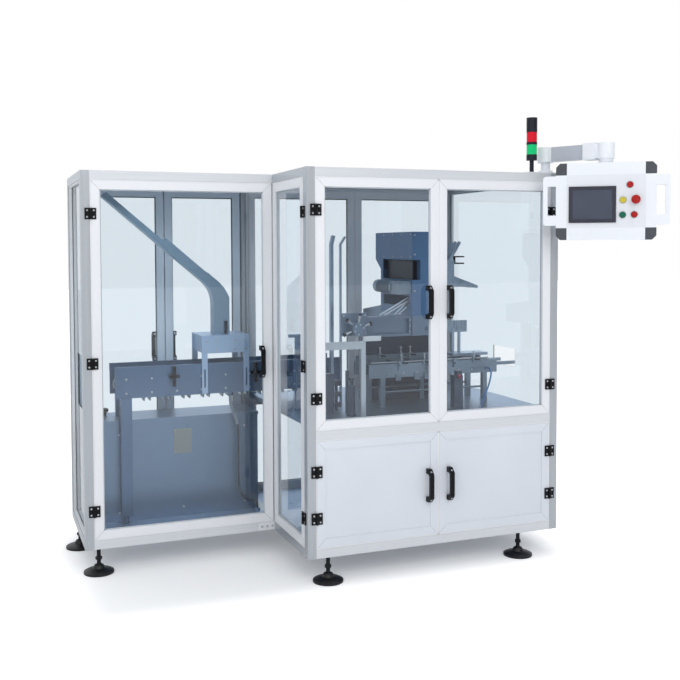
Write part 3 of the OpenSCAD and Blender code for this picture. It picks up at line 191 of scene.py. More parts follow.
def lined_metal(name, colour, dark, metallic, roughness, along, line_mm):
    """A metal with fine lines along one axis, or an even grain, drawn line_mm apart in its colour and gloss."""
    material, tree, out = new_material(name)
    place = add(tree, "ShaderNodeTexCoord")
    fine, drawn_out = 1000 / line_mm, 0.012
    spread = [fine * (drawn_out if axis == along else 1) for axis in "xyz"]
    turned = add(tree, "ShaderNodeMapping", {"Vector": place.outputs["Object"], "Scale": spread})
    lines = add(tree, "ShaderNodeTexNoise", {"Vector": turned.outputs[0], "Scale": 1.0, "Detail": 3.0})
    tone = add(tree, "ShaderNodeMix", {"Factor": lines.outputs["Fac"], "A": linear(dark), "B": linear(colour)},
               data_type="RGBA")
    gloss = add(tree, "ShaderNodeMapRange", {"Value": lines.outputs["Fac"], "From Min": 0.3, "From Max": 0.7,
                                             "To Min": roughness - 0.06, "To Max": roughness + 0.08})
    bump = add(tree, "ShaderNodeBump", {"Height": lines.outputs["Fac"], "Strength": 0.12, "Distance": 0.0004})
    surface = add(tree, "ShaderNodeBsdfPrincipled",
                  {"Base Color": tone.outputs["Result"], "Metallic": metallic,
                   "Roughness": gloss.outputs[0], "Normal": bump.outputs[0]})
    tree.links.new(surface.outputs[0], out.inputs["Surface"])
    return material


# The lines are about 0.1 mm apart on the real bar, and drawn at 6 mm so that they show at this distance.
# The three copies of the one anodised profile differ in tone and metalness by bar direction, the x rails paler and the
# posts and y rails darker, as painted light and shade.
for part, axis, colour, dark, metallic in (("posts", "z", "#c0c4c9", "#aeb3b8", 0.5),
                                           ("rails_x", "x", "#dfe1e5", "#d2d5da", 0.25),
                                           ("rails_y", "y", "#c4c8cc", "#b1b6bb", 0.6)):
    dress("frame_" + part, lined_metal("anodised_profile_lit_and_shaded_" + axis, colour, dark, metallic, 0.36, axis, 6))
dress("tube_stand", lined_metal("anodised_tube", "#cfd4d9", "#bcc2c8", 0.7, 0.36, "z", 6))


# Door bars: narrower mitred extrusion, the same satin anodising but paler, one frame to each door.
# Each corner shows the hairline of its mitre, and a grey wedge seal holds the sheet in the groove.
plan_mid = (325.977, 352.018)


def spot(x, y, z):
    """A place in the machine's own plan, in mm from the main bay's front left corner, in metres."""
    return Vector(((x - plan_mid[0]) / 1000, (y - plan_mid[1]) / 1000, z / 1000))


def copies_tree():
    """Geometry Nodes: copies of one shape on points, each turned and sized by the point's own values."""
    tree = bpy.data.node_groups.new("placed_copies", "GeometryNodeTree")
    for name, kind in (("Points", "Geometry"), ("Shape", "Object"), ("Finish", "Material")):
        tree.interface.new_socket(name, in_out="INPUT", socket_type="NodeSocket" + kind)
    tree.interface.new_socket("Copies", in_out="OUTPUT", socket_type="NodeSocketGeometry")
    given = add(tree, "NodeGroupInput").outputs
    shape = add(tree, "GeometryNodeObjectInfo", {"Object": given["Shape"]})
    turn = add(tree, "GeometryNodeInputNamedAttribute", {"Name": "turn"}, data_type="QUATERNION")
    size = add(tree, "GeometryNodeInputNamedAttribute", {"Name": "size"}, data_type="FLOAT_VECTOR")
    spread = add(tree, "GeometryNodeInstanceOnPoints",
                 {"Points": given["Points"], "Instance": shape.outputs["Geometry"],
                  "Rotation": turn.outputs["Attribute"], "Scale": size.outputs["Attribute"]})
    whole = add(tree, "GeometryNodeRealizeInstances", {"Geometry": spread.outputs[0]})
    finish = add(tree, "GeometryNodeSetMaterial", {"Geometry": whole.outputs[0], "Material": given["Finish"]})
    add(tree, "NodeGroupOutput", {"Copies": finish.outputs[0]})
    return tree


placed_copies = copies_tree()


def copies(name, shape, places, material, body):
    """One piece made of copies of a mesh in mm: each place is a point, a turn (3x3) and a size."""
    scene = bpy.context.scene.collection.objects
    pattern = bpy.data.objects.new("pattern", shape)
    points = bpy.data.meshes.new(name)
    points.from_pydata([p for p, _, _ in places], [], [])
    turns = [v for _, turn, _ in places for v in turn.to_quaternion()]
    sizes = [v / 1000 for _, _, size in places for v in size]
    points.attributes.new("turn", "QUATERNION", "POINT").data.foreach_set("value", turns)
    points.attributes.new("size", "FLOAT_VECTOR", "POINT").data.foreach_set("vector", sizes)
    obj = bpy.data.objects.new(name, points)
    scene.link(pattern)
    scene.link(obj)
    grow = obj.modifiers.new("copies", "NODES")
    grow.node_group = placed_copies
    key = {item.name: item.identifier for item in placed_copies.interface.items_tree}
    grow[key["Shape"]], grow[key["Finish"]] = pattern, material
    graph = bpy.context.evaluated_depsgraph_get()
    plain = bpy.data.meshes.new_from_object(obj.evaluated_get(graph), depsgraph=graph)
    obj.modifiers.clear()
    obj.data = plain
    plain.name = name
    bpy.data.objects.remove(pattern)
    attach(obj, body)
    return obj


# A bar 1 by 1 by 1 about its middle, which each copy sizes and turns.
bar = bpy.data.meshes.new("bar")
form = bmesh.new()
bmesh.ops.create_cube(form, size=1)
form.to_mesh(bar)
form.free()


def facing(normal, along):
    """The turn that takes x to along and z to normal."""
    normal, along = Vector(normal), Vector(along)
    return Matrix((along, normal.cross(along), normal)).transposed()


def mottled(name, dark, pale, roughness, patch_mm, detail=2.0, coat=0.0):
    """A plain material with soft patches of tone, patch_mm across."""
    material, tree, out = new_material(name)
    place = add(tree, "ShaderNodeTexCoord")
    patch = add(tree, "ShaderNodeTexNoise",
                {"Vector": place.outputs["Object"], "Scale": 1000 / patch_mm, "Detail": detail})
    tone = add(tree, "ShaderNodeMix", {"Factor": patch.outputs["Fac"], "A": linear(dark), "B": linear(pale)},
               data_type="RGBA")
    surface = add(tree, "ShaderNodeBsdfPrincipled",
                  {"Base Color": tone.outputs["Result"], "Roughness": roughness, "Coat Weight": coat})
    tree.links.new(surface.outputs[0], out.inputs["Surface"])
    return material


# Each door: its body, hinge corner, direction to its free edge, outward normal, width, height and hinges.
tall, short, pair = (127, 789, 1454), (136, 947), (130, 333)
doors = {
    "upper_left": ("machine", (45, 0, 670), (1, 0, 0), (0, -1, 0), 582.5, 1085, short),
    "upper_right": ("machine", (1215, 0, 670), (-1, 0, 0), (0, -1, 0), 582.5, 1085, short),
    "side": ("machine", (0, 45, 155), (0, 1, 0), (-1, 0, 0), 430, 1600, tall),
    "infeed": ("infeed_door", (-835, 480, 155), (1, 0, 0), (0, -1, 0), 827, 1600, tall),
    "cabinet_left": ("cabinet_door_left", (45, 0, 155), (1, 0, 0), (0, -1, 0), 582.5, 465, pair),
    "cabinet_right": ("cabinet_door_right", (1215, 0, 155), (-1, 0, 0), (0, -1, 0), 582.5, 465, pair),
    "rear_left": ("rear_door_left", (-835, 1070, 155), (1, 0, 0), (0, 1, 0), 427.5, 1600, tall),
    "rear_right": ("rear_door_right", (-5, 1070, 155), (-1, 0, 0), (0, 1, 0), 397.5, 1600, tall),
    "back_left": ("machine", (40, 1070, 150), (1, 0, 0), (0, 1, 0), 610, 1610, ()),
    "back_right": ("machine", (1220, 1070, 150), (-1, 0, 0), (0, 1, 0), 565, 1610, ()),
}
door_bar, pane_deep = 38, 10
up = Vector((0, 0, 1))

mitre_line = mottled("mitre_hairline", "#6d737a", "#a3a9b0", 0.8, 8.333)
rubber = mottled("wedge_seal_rubber", "#b3bac2", "#c6ccd3", 0.62, 16.667, 4.0)
# The near-white rubber of the gap lips and side beads lifts the shade in the door gaps and recesses: painted light.
shade_lifting_rubber = mottled("pale_lip_rubber_painted_light", "#e6e8eb", "#f2f3f5", 0.6, 16.667, 4.0)

mitre_size = (door_bar * 1.36, 0.9, 0.3)
seal, inset, seal_deep = (5, 4), door_bar + 2.5, pane_deep - 2
gap, lip, lip_deep = 2.5, (4, 6), 4
for name, (body, corner, along, normal, w, h, _) in doors.items():
    along, normal = Vector(along), Vector(normal)
    base = spot(*corner)
    mitres, seals = [], []
    for right, top in ((0, 0), (1, 0), (0, 1), (1, 1)):
        inward = (along * (1 - 2 * right) + up * (1 - 2 * top)) / math.sqrt(2)
        middle = along * abs(right * w - door_bar / 2) + up * abs(top * h - door_bar / 2)
        mitres.append((base + middle / 1000, facing(normal, inward), mitre_size))
    for side in (inset, w - inset):
        seals.append((base + (along * side + up * h / 2 - normal * seal_deep) / 1000,
                      facing(normal, up), (h - 2 * door_bar, *seal)))
    for side in (inset, h - inset):
        seals.append((base + (along * w / 2 + up * side - normal * seal_deep) / 1000,
                      facing(normal, along), (w - 2 * door_bar, *seal)))
    copies(name + "_mitres", bar, mitres, mitre_line, body)
    hinge_lip, free_lip = [(base + (along * side + up * h / 2 - normal * lip_deep) / 1000,
                            facing(normal, up), (h, *lip)) for side in (-gap, w + gap)]
    lips = [hinge_lip] + [(base + (along * w / 2 + up * side - normal * lip_deep) / 1000,
                           facing(normal, along), (w + 4 * gap, *lip)) for side in (-gap, h + gap)]
    if not name.startswith("back"):
        copies(name + "_gap_lips", bar, lips, shade_lifting_rubber, "machine")
    # Where two doors meet, the left one carries the lip between them.
    if not name.endswith("_right") and not name.startswith("back"):
        copies(name + "_meeting_lip", bar, [free_lip], shade_lifting_rubber, body if name.endswith("_left") else "machine")
    if not name.startswith("cabinet"):
        copies(name + "_seals", bar, seals, rubber, body)

door_metal = lined_metal("anodised_door_bar", "#eeeff2", "#e3e5e9", 0.1, 0.38, None, 3)
dress("fixed_door_frames infeed_door_frame", door_metal)
# The rear door bars get a paler, bluer copy of the door anodising, standing in for the light on them seen through the
# sheets: painted light.
dress("rear_door_left_frame rear_door_right_frame",
      lined_metal("anodised_rear_door_bar_painted_light", "#e6eff8", "#d6e1ec", 0.1, 0.38, None, 3))


# Clear sheets: 5 mm cast acrylic with a faint blue tint, flame-polished, held in grooves.
# Lamps shine straight through, so the sheet lets shadow rays pass.
acrylic, tree, out = new_material("clear_blue_acrylic")
sheet = add(tree, "ShaderNodeBsdfPrincipled",
            {"Base Color": linear("#f1f7fb"), "Roughness": 0.015, "IOR": 1.49, "Transmission Weight": 1.0})
through = add(tree, "ShaderNodeBsdfTransparent", {"Color": linear("#f1f7fb")})
path = add(tree, "ShaderNodeLightPath")
pane = add(tree, "ShaderNodeMixShader", {0: path.outputs["Is Shadow Ray"], 1: sheet.outputs[0], 2: through.outputs[0]})
tree.links.new(pane.outputs[0], out.inputs["Surface"])
dress("fixed_door_panes infeed_door_pane rear_door_left_pane rear_door_right_pane left_side_pane right_side_pane",
      acrylic)

# Pale glazing beads press the two side sheets into their frames from outside; their near-white tone lifts the shade in
# the recess beside the posts, as painted light.
straight_on = Matrix.Identity(3)
bead, bead_deep, bead_in = 6, 13, 3.5
beads = []
for x, y0, y1, z0, z1 in ((-869, 520, 1030, 150, 1760), (1252, 40, 1030, 665, 1760)):
    beads += [(spot(x, y, (z0 + z1) / 2), straight_on, (bead_deep, bead, z1 - z0 - 1))
              for y in (y0 + bead_in, y1 - bead_in)]
    beads += [(spot(x, (y0 + y1) / 2, z), straight_on, (bead_deep, y1 - y0 - 14, bead))
              for z in (z0 + bead_in, z1 - bead_in)]
copies("side_sheet_beads", bar, beads, shade_lifting_rubber, "machine")


# Hinges, handles and feet: glass-filled polyamide, moulded black with a fine spark-eroded grain.
# Each hinge leaf is held by two zinc-plated cap screws.
def moulded(name, colour, pale, roughness, grain_mm, shine=0.5):
    """A moulded plastic with an even eroded grain, grain_mm apart, and slight scuffs of about 45 mm."""
    material, tree, out = new_material(name)
    place = add(tree, "ShaderNodeTexCoord")
    grain = add(tree, "ShaderNodeTexNoise", {"Vector": place.outputs["Object"], "Scale": 1000 / grain_mm})
    scuff = add(tree, "ShaderNodeTexNoise", {"Vector": place.outputs["Object"], "Scale": 1000 / 45.45, "Detail": 5.0})
    tone = add(tree, "ShaderNodeMix", {"Factor": scuff.outputs["Fac"], "A": linear(colour), "B": linear(pale)},
               data_type="RGBA")
    gloss = add(tree, "ShaderNodeMapRange", {"Value": scuff.outputs["Fac"], "To Min": roughness - 0.1,
                                             "To Max": roughness + 0.1})
    bump = add(tree, "ShaderNodeBump", {"Height": grain.outputs["Fac"], "Strength": 0.25, "Distance": 0.0003})
    surface = add(tree, "ShaderNodeBsdfPrincipled",
                  {"Base Color": tone.outputs["Result"], "Roughness": gloss.outputs[0], "Normal": bump.outputs[0],
                   "Specular IOR Level": shine})
    tree.links.new(surface.outputs[0], out.inputs["Surface"])
    return material


def lathe(name, outline, sides=16):
    """A turned shape: an outline of (radius, height), bottom to top, swept round z. A radius of 0 closes an end."""
    verts, rings, faces = [], [], []
    for r, z in outline:
        count = sides if r else 1
        rings.append((len(verts), count))
        verts += [(r * math.cos(2 * math.pi * k / sides), r * math.sin(2 * math.pi * k / sides), z)
                  for k in range(count)]
    for (a, na), (b, nb) in zip(rings, rings[1:]):
        for k in range(sides):
            j = (k + 1) % sides
            loop = [a + k % na, a + j % na, b + j % nb, b + k % nb]
            faces.append(list(dict.fromkeys(loop)))
    mesh = bpy.data.meshes.new(name)
    mesh.from_pydata(verts, [], faces)
    mesh.shade_smooth()
    mesh.set_sharp_from_angle(angle=math.radians(32))
    return mesh


polyamide = moulded("black_polyamide", "#08080a", "#101114", 0.4, 1.2, 0.2)
dress("fixed_door_fittings hinge_leaves infeed_door_fittings cabinet_door_left_fittings "
      "cabinet_door_right_fittings rear_door_left_fittings rear_door_right_fittings clamps", polyamide)

zinc = lined_metal("zinc_plated_screw", "#d7dade", "#b3b7bd", 0.9, 0.3, None, 1)
cap_screw = lathe("cap_screw", [(0, 0), (1, 0), (1, 0.8), (0.85, 1), (0.5, 1), (0.5, 0.4), (0, 0.4)], 12)
leaf_out, axis_in, screw_off = 5, 2.5, 14.5
for name, (body, corner, along, normal, w, h, hinges) in doors.items():
    along, normal = Vector(along), Vector(normal)
    held = {}
    for z in hinges:
        for side, rise in ((-1, -1), (-1, 1), (1, -1), (1, 1)):
            seat = spot(*corner) + (along * (side * screw_off - axis_in) + normal * leaf_out
                                    + up * (z + rise * screw_off)) / 1000
            held.setdefault(body if side > 0 else "machine", []).append((seat, facing(normal, along), (4.2, 4.2, 2)))
    for carrier, places in held.items():
        copies(f"{name}_hinge_screws_{carrier}", cap_screw, places, zinc, carrier)
    if not hinges:
        bolts = [(spot(*corner) + (along * x + up * z) / 1000, facing(normal, along), (5, 5, 3))
                 for x in (19, w - 19) for z in range(60, int(h), 298)]
        copies(name + "_bolts", cap_screw, bolts, zinc, body)

# Each handle is bolted through its sheet beside the stile, with a capped screw in each cut corner.
handle_z = {"upper_left": 539, "upper_right": 539, "infeed": 764, "cabinet_left": 228, "cabinet_right": 228,
            "rear_left": 796, "rear_right": 796}
handle_in, screw_z, cap_out, panel_deep, sheet_back = 49, 64, 33, 4, 15
for name, middle in handle_z.items():
    body, corner, along, normal, w = doors[name][:5]
    along, normal = Vector(along), Vector(normal)
    glazed = not name.startswith("cabinet")
    seat = pane_deep if glazed else panel_deep
    caps, heads = [], []
    for rise in (-1, 1):
        screw = spot(*corner) + (along * (w - handle_in) + up * (middle + rise * screw_z)) / 1000
        caps.append((screw + normal * (cap_out - seat) / 1000,
                     facing((normal + up * rise).normalized(), along), (4.6, 4.6, 1.6)))
        heads.append((screw - normal * sheet_back / 1000, facing(-normal, along), (7, 7, 4)))
    copies(name + "_handle_caps", cap_screw, caps, zinc, body)
    if glazed:
        copies(name + "_handle_bolts", cap_screw, heads, zinc, body)

# The foot's pad is black polyamide, and its stem and nut are dark zinc-plated steel.
# The thread is drawn at 3 mm, coarser than the real 2 mm, so that it shows.
pad_top, thread_pitch = 0.037, 0.003
foot, tree, out = new_material("foot_pad_and_stem")
place = add(tree, "ShaderNodeTexCoord")
height = add(tree, "ShaderNodeSeparateXYZ", {0: place.outputs["Object"]})
stem = add(tree, "ShaderNodeMath", {0: height.outputs["Z"], 1: pad_top}, operation="GREATER_THAN")
grain = add(tree, "ShaderNodeTexNoise", {"Vector": place.outputs["Object"], "Scale": 1000 / 2.5})
dark = add(tree, "ShaderNodeMix", {"Factor": grain.outputs["Fac"], "A": linear("#08080a"), "B": linear("#121316")},
           data_type="RGBA")
tone = add(tree, "ShaderNodeMix", {"Factor": stem.outputs[0], "A": dark.outputs["Result"], "B": linear("#3a3c40")},
           data_type="RGBA")
thread = add(tree, "ShaderNodeMath", {0: height.outputs["Z"], 1: 2 * math.pi / thread_pitch}, operation="MULTIPLY")
groove = add(tree, "ShaderNodeMath", {0: thread.outputs[0]}, operation="SINE")
cut = add(tree, "ShaderNodeMath", {0: groove.outputs[0], 1: stem.outputs[0]}, operation="MULTIPLY")
bump = add(tree, "ShaderNodeBump", {"Height": cut.outputs[0], "Strength": 0.6, "Distance": 0.001})
surface = add(tree, "ShaderNodeBsdfPrincipled", {"Base Color": tone.outputs["Result"], "Roughness": 0.42,
                                                 "Metallic": stem.outputs[0], "Normal": bump.outputs[0]})
tree.links.new(surface.outputs[0], out.inputs["Surface"])
dress("levelling_feet", foot)


# Cabinet doors, side sheet and roof: folded steel sheet with a pale grey polyester powder coat.
# The coat cures with a slight orange peel, a few millimetres from crest to crest.
def powder_coat(name, colour, shade, roughness):
    """A baked powder coat with orange peel and a faint drift of tone."""
    material, tree, out = new_material(name)
    place = add(tree, "ShaderNodeTexCoord")
    peel = add(tree, "ShaderNodeTexNoise", {"Vector": place.outputs["Object"], "Scale": 1000 / 4.0, "Detail": 1.0})
    drift = add(tree, "ShaderNodeTexNoise", {"Vector": place.outputs["Object"], "Scale": 1000 / 350.0, "Detail": 2.0})
    tone = add(tree, "ShaderNodeMix", {"Factor": drift.outputs["Fac"], "A": linear(shade), "B": linear(colour)},
               data_type="RGBA")
    gloss = add(tree, "ShaderNodeMapRange", {"Value": peel.outputs["Fac"], "To Min": roughness - 0.06,
                                             "To Max": roughness + 0.06})
    bump = add(tree, "ShaderNodeBump", {"Height": peel.outputs["Fac"], "Strength": 0.14, "Distance": 0.0006})
    surface = add(tree, "ShaderNodeBsdfPrincipled",
                  {"Base Color": tone.outputs["Result"], "Roughness": gloss.outputs[0], "Normal": bump.outputs[0]})
    tree.links.new(surface.outputs[0], out.inputs["Surface"])
    return material


grey_coat = powder_coat("pale_grey_powder_coat", "#dfe3ea", "#d3d8e0", 0.4)
dress("cabinet_door_left cabinet_door_right right_lower_panel roof_panels", grey_coat)


# Table, floor pans and base cabinet: brushed stainless sheet, folded and screwed down.
# The brush leaves lines along the sheet's length, about 0.05 mm apart, drawn at 3 mm so that they show.
def solid_bar(name, low, high, round_mm, material, body):
    """A block between two corners in plan millimetres, with its edges rounded."""
    low, high = spot(*low), spot(*high)
    form = bmesh.new()
    bmesh.ops.create_cube(form, size=1)
    for v in form.verts:
        v.co = [low[i] + (v.co[i] + 0.5) * (high[i] - low[i]) for i in range(3)]
    bmesh.ops.bevel(form, geom=form.edges[:], offset=round_mm / 1000, segments=2, affect="EDGES", profile=0.5)
    mesh = bpy.data.meshes.new(name)
    form.to_mesh(mesh)
    form.free()
    obj = bpy.data.objects.new(name, mesh)
    bpy.context.scene.collection.objects.link(obj)
    mesh.materials.append(material)
    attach(obj, body)


brushed = lined_metal("brushed_stainless_x", "#8699b0", "#72859c", 0.85, 0.34, "x", 3)
dress("table_plate base_cabinet", brushed)
# The floor pans get a paler, less metallic copy of the stainless, lifting the shade they lie in: painted light.
dress("floor_pans", lined_metal("brushed_floor_pan_painted_light_x", "#a6bad2", "#93a8c0", 0.6, 0.4, "x", 3))
front, front_x = (0, -1, 0), (1, 0, 0)
copies("base_screws", cap_screw,
       [(spot(x, 734, z), facing(front, front_x), (6, 6, 3)) for x, z in
        ((-690, 569), (-691, 194), (-76, 573), (-73, 195), (-384, 196))], zinc, "machine")
plate_metal = lined_metal("bare_name_plate", "#9a9d98", "#8b8f8c", 0.5, 0.4, None, 3)
solid_bar("name_plate", (-429, 732.8, 459), (-342, 734.2, 579), 0.4, plate_metal, "machine")
copies("name_plate_rivets", cap_screw, [(spot(x, 732.8, z), facing(front, front_x), (2.2, 2.2, 1))
                                        for x in (-423, -348) for z in (465, 573)], zinc, "machine")
knob = lathe("knob", [(0, 0), (9, 0), (9, 10), (17, 14), (20, 22), (18, 30), (11, 34), (0, 35)], 20)
copies("base_knob", knob, [(spot(-735, 905, 640), straight_on, (1, 1, 1))], polyamide, "machine")
solid_bar("joining_plate", (-78, 477, 112), (6, 480.2, 148), 0.8, door_metal, "machine")
copies("joining_bolts", cap_screw, [(spot(x, 477, 130), facing(front, front_x), (5.5, 5.5, 3))
                                    for x in (-62, -36, -10)], zinc, "machine")


# Infeed conveyor: stainless side plates and guide lips, with a chain of hooked flights on wheels.
# The chain is rows of pressed link plates on pins, one inch from pin to pin.
conveyor_steel = lined_metal("brushed_conveyor_plate", "#6e84a0", "#586d88", 0.8, 0.36, "x", 3)
dress("conveyor_frame", conveyor_steel)
chain_steel = lined_metal("oiled_chain_steel", "#8b98a6", "#5f6c7a", 0.85, 0.32, None, 4)
dress("conveyor_chain carton_chain", chain_steel)
copies("plate_bolts", cap_screw,
       [(spot(x, 688, z), facing(front, front_x), (5.5, 5.5, 4))
        for x in range(-660, 400, 120) for z in (772, 838)], zinc, "machine")


def link_plate():
    """A link plate 34 by 14 mm, waisted between its two pins, 2 mm thick, with pin heads."""
    form = bmesh.new()
    pitch_half, r, waist, thick = 12.7, 8, 5.5, 2
    rim = []
    for side, start in ((1, -60), (-1, 120)):
        rim += [(side * pitch_half + r * math.cos(math.radians(start + a)), r * math.sin(math.radians(start + a)))
                for a in (0, 30, 60, 90, 120)]
        rim.append((0, side * waist))
    low = [form.verts.new((x, y, 0)) for x, y in rim]
    high = [form.verts.new((x, y, thick)) for x, y in rim]
    form.faces.new(high)
    form.faces.new(low[::-1])
    for i in range(len(rim)):
        j = (i + 1) % len(rim)
        form.faces.new((low[i], low[j], high[j], high[i]))
    for x in (-pitch_half, pitch_half):
        bmesh.ops.create_cone(form, cap_ends=True, segments=8, radius1=4, radius2=3.2, depth=2,
                              matrix=Matrix.Translation((x, 0, thick + 0.9)))
    mesh = bpy.data.meshes.new("link_plate")
    form.to_mesh(mesh)
    form.free()
    return mesh


def loop_links(x0, x1, z, r, pitch, faces):
    """Places of links all round a chain loop, on each of its faces (y, outward normal)."""
    straight, bend = x1 - x0, math.pi * r
    total = 2 * (straight + bend)
    count = round(total / pitch / 2) * 2
    found = []
    for i in range(count):
        s = i * total / count
        if s < straight:
            x, zz, turn = x0 + s, z + r, 0
        elif s < straight + bend:
            turn = (s - straight) / r
            x, zz = x1 + r * math.sin(turn), z + r * math.cos(turn)
        elif s < 2 * straight + bend:
            x, zz, turn = x1 - (s - straight - bend), z - r, math.pi
        else:
            turn = math.pi + (s - 2 * straight - bend) / r
            x, zz = x0 + r * math.sin(turn), z + r * math.cos(turn)
        for y, normal in faces:
            out_by = 1.6 * (i % 2)
            found.append((spot(x, y + normal * out_by, zz),
                          facing((0, normal, 0), (math.cos(turn), 0, -math.sin(turn))), (1, 1, 1)))
    return found


link, inch = link_plate(), 25.4
copies("conveyor_links", link,
       loop_links(-654, 362, 802, 47, inch, ((753, -1), (813, 1))), chain_steel, "machine")
copies("carton_links", link,
       loop_links(468, 1112, 858.3, 17, inch, ((427, -1), (467, 1))), chain_steel, "machine")


# Product feed: folded stainless chute and drop tube over a machined feed head on slotted straps.
# Its sheet is finer brushed than the base, so it looks paler.
chute_steel = lined_metal("fine_brushed_chute", "#93a9ba", "#8097aa", 0.75, 0.36, "x", 3)
dress("feed_chute", chute_steel)
# A rounded gusset fills the inside of the chute's elbow.
above_bend, bend, below_bend = Vector((-275.2, 1292.8)), Vector((-222, 1247.3)), Vector((-222, 1177.3))
steps = 10
arc = [bend] + [above_bend.lerp(bend, t / steps).lerp(bend.lerp(below_bend, t / steps), t / steps)
                for t in range(steps + 1)]
count = len(arc)
gusset = bpy.data.meshes.new("elbow_gusset")
gusset.from_pydata([spot(p.x, y, p.y) for y in (748, 818) for p in arc], [],
                   [list(range(count)), list(range(2 * count - 1, count - 1, -1))]
                   + [(i, i + count, (i + 1) % count + count, (i + 1) % count) for i in range(count)])
gusset.materials.append(chute_steel)
elbow = bpy.data.objects.new("elbow_gusset", gusset)
bpy.context.scene.collection.objects.link(elbow)
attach(elbow, "machine")
head_steel = lined_metal("ground_feed_head", "#b8cde6", "#a4bad4", 0.7, 0.34, "x", 3)
dress("feed_head", head_steel)
copies("feed_head_screws", cap_screw,
       [(spot(x, 673, z), facing(front, front_x), (5, 5, 4)) for x in (-276, -230, -134, -88) for z in (962, 1004)],
       zinc, "machine")


# Conduit and cable: a ribbed polyamide conduit over a black control cable, from conveyor to floor pan.
# The cable leaves a gland under the conveyor's side plate and enters one on the floor pan.
def cord_curve(name, points, r_mm, material):
    """A round cord as one smooth open spline through points in plan millimetres."""
    data = bpy.data.curves.new(name, "CURVE")
    data.dimensions = "3D"
    data.bevel_depth = r_mm / 1000
    data.bevel_resolution = 3
    data.resolution_u = 6
    data.use_fill_caps = True
    spline = data.splines.new("BEZIER")
    spline.bezier_points.add(len(points) - 1)
    for knot, p in zip(spline.bezier_points, points):
        knot.co = spot(*p)
        knot.handle_left_type = knot.handle_right_type = "AUTO"
    data.materials.append(material)
    obj = bpy.data.objects.new(name, data)
    bpy.context.scene.collection.objects.link(obj)
    return obj, sum((Vector(a) - Vector(b)).length for a, b in zip(points, points[1:])) / 1000


cable_sheath = moulded("dark_cable_sheath", "#26313f", "#303c4b", 0.5, 1.0)
conduit_path = [
    (-156, 691, 734), (-156, 691, 716), (-155, 691, 698), (-151, 691, 678), (-144, 691, 656),
    (-135, 691, 634), (-127, 691, 612), (-121, 691, 586), (-118, 691, 552), (-118, 691, 500),
    (-118, 691, 450), (-118, 691, 400), (-118, 691, 350), (-117, 691, 305), (-113, 691, 270),
    (-103, 691, 240), (-87, 691, 218), (-68, 691, 208), (-50, 691, 204), (-34, 691, 196),
    (-24, 691, 182), (-22, 691, 172), (-22, 691, 164)]
cable, cable_l = cord_curve("control_cable", conduit_path, 5, cable_sheath)
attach(cable, "machine")
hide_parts("signal_conduit")

conduit_grey = moulded("grey_conduit_polyamide", "#8d99a6", "#a5b0bc", 0.5, 1.5)
ring = lathe("conduit_rib", [(6, -1.6), (7.6, -1.4), (9, -0.6), (9, 0.6), (7.6, 1.4), (6, 1.6)], 12)
ribs = []
for a, b in zip(conduit_path[:7], conduit_path[1:8]):
    a, b = Vector(a), Vector(b)
    steps = max(1, round((b - a).length / 4.4))
    ribs += [(spot(*(a + (b - a) * i / steps)), facing((b - a).normalized(), (0, 1, 0)), (1, 1, 1))
             for i in range(steps)]
conduit = copies("ribbed_conduit", ring, ribs, conduit_grey, "machine")


# Carton magazine: a folded steel housing in blue-grey enamel on a stainless beam, with its gear motor.
# Guide bars, tray and press are ground stainless flats and round bars.
enamel = powder_coat("blue_grey_enamel", "#597da5", "#4f7198", 0.36)
dress("magazine_tower", enamel)
beam_steel = lined_metal("brushed_beam_y", "#8797aa", "#74859a", 0.8, 0.36, "y", 3)
dress("tower_columns", beam_steel)
bar_steel = lined_metal("ground_bar_z", "#a9b9c9", "#93a4b5", 0.8, 0.3, "z", 3)
dress("magazine_rods magazine_guides carton_press", bar_steel)
cast = lined_metal("cast_motor_aluminium", "#97a5b4", "#84929f", 0.6, 0.45, None, 2)
dress("magazine_drive", cast)
fin = lathe("motor_fin", [(29, -1.2), (34, -0.8), (34, 0.8), (29, 1.2)], 32)
copies("motor_fins", fin,
       [(spot(654, y, 1257), facing((0, 1, 0), (1, 0, 0)), (1, 1, 1)) for y in range(534, 680, 9)], cast, "machine")
copies("tower_screws", cap_screw,
       [(spot(690, y, z), facing((-1, 0, 0), (0, 1, 0)), (4.5, 4.5, 3))
        for y in (415, 520, 625, 735) for z in (1408, 1520)]
       + [(spot(x, 400, z), facing(front, front_x), (4.5, 4.5, 3)) for x in (704, 866) for z in (1240, 1420, 1516)],
       zinc, "machine")

# The gantry's front holds a white guide strip, and the picker's drum carries five suction arms.
drum_x, drum_front, drum_z = 388, 347, 1065
solid_bar("guide_strip", (428, 396, 1002), (522, 408, 1027), 2,
          moulded("white_polyethylene", "#ffffff", "#f7f9fb", 0.45, 2.0), "machine")
arms, ring_bolts = [], []
for step in range(5):
    turn = math.radians(60 * step + 20)
    ray = Vector((math.cos(turn), 0, math.sin(turn)))
    arms.append((spot(drum_x, drum_front + 24, drum_z), facing(ray, (0, 1, 0)), (1, 1, 1)))
    ring_bolts.append((spot(drum_x, drum_front, drum_z) + ray * 0.024, facing(front, front_x), (4.5, 4.5, 3)))
arm = lathe("suction_arm", [(0, 33), (5.5, 33), (5.5, 54), (8, 55), (8, 62), (5, 63), (5, 66)], 14)
cup = lathe("suction_cup", [(5, 66), (9, 67), (7, 70), (12, 75), (10, 75), (0, 70)], 16)
copies("suction_arms", arm, arms, zinc, "machine")
copies("suction_cups", cup, arms, polyamide, "machine")
copies("picker_bolts", cap_screw,
       ring_bolts + [(spot(x, 412, z), facing(front, front_x), (5, 5, 3))
                     for x, z in ((332, 1042), (332, 1128), (444, 1128), (444, 1042))], zinc, "machine")
copies("gantry_screws", cap_screw, [(spot(683.5, 408, z), facing(front, front_x), (3.6, 3.6, 2))
                                    for z in (1040, 1069, 1098)], zinc, "machine")
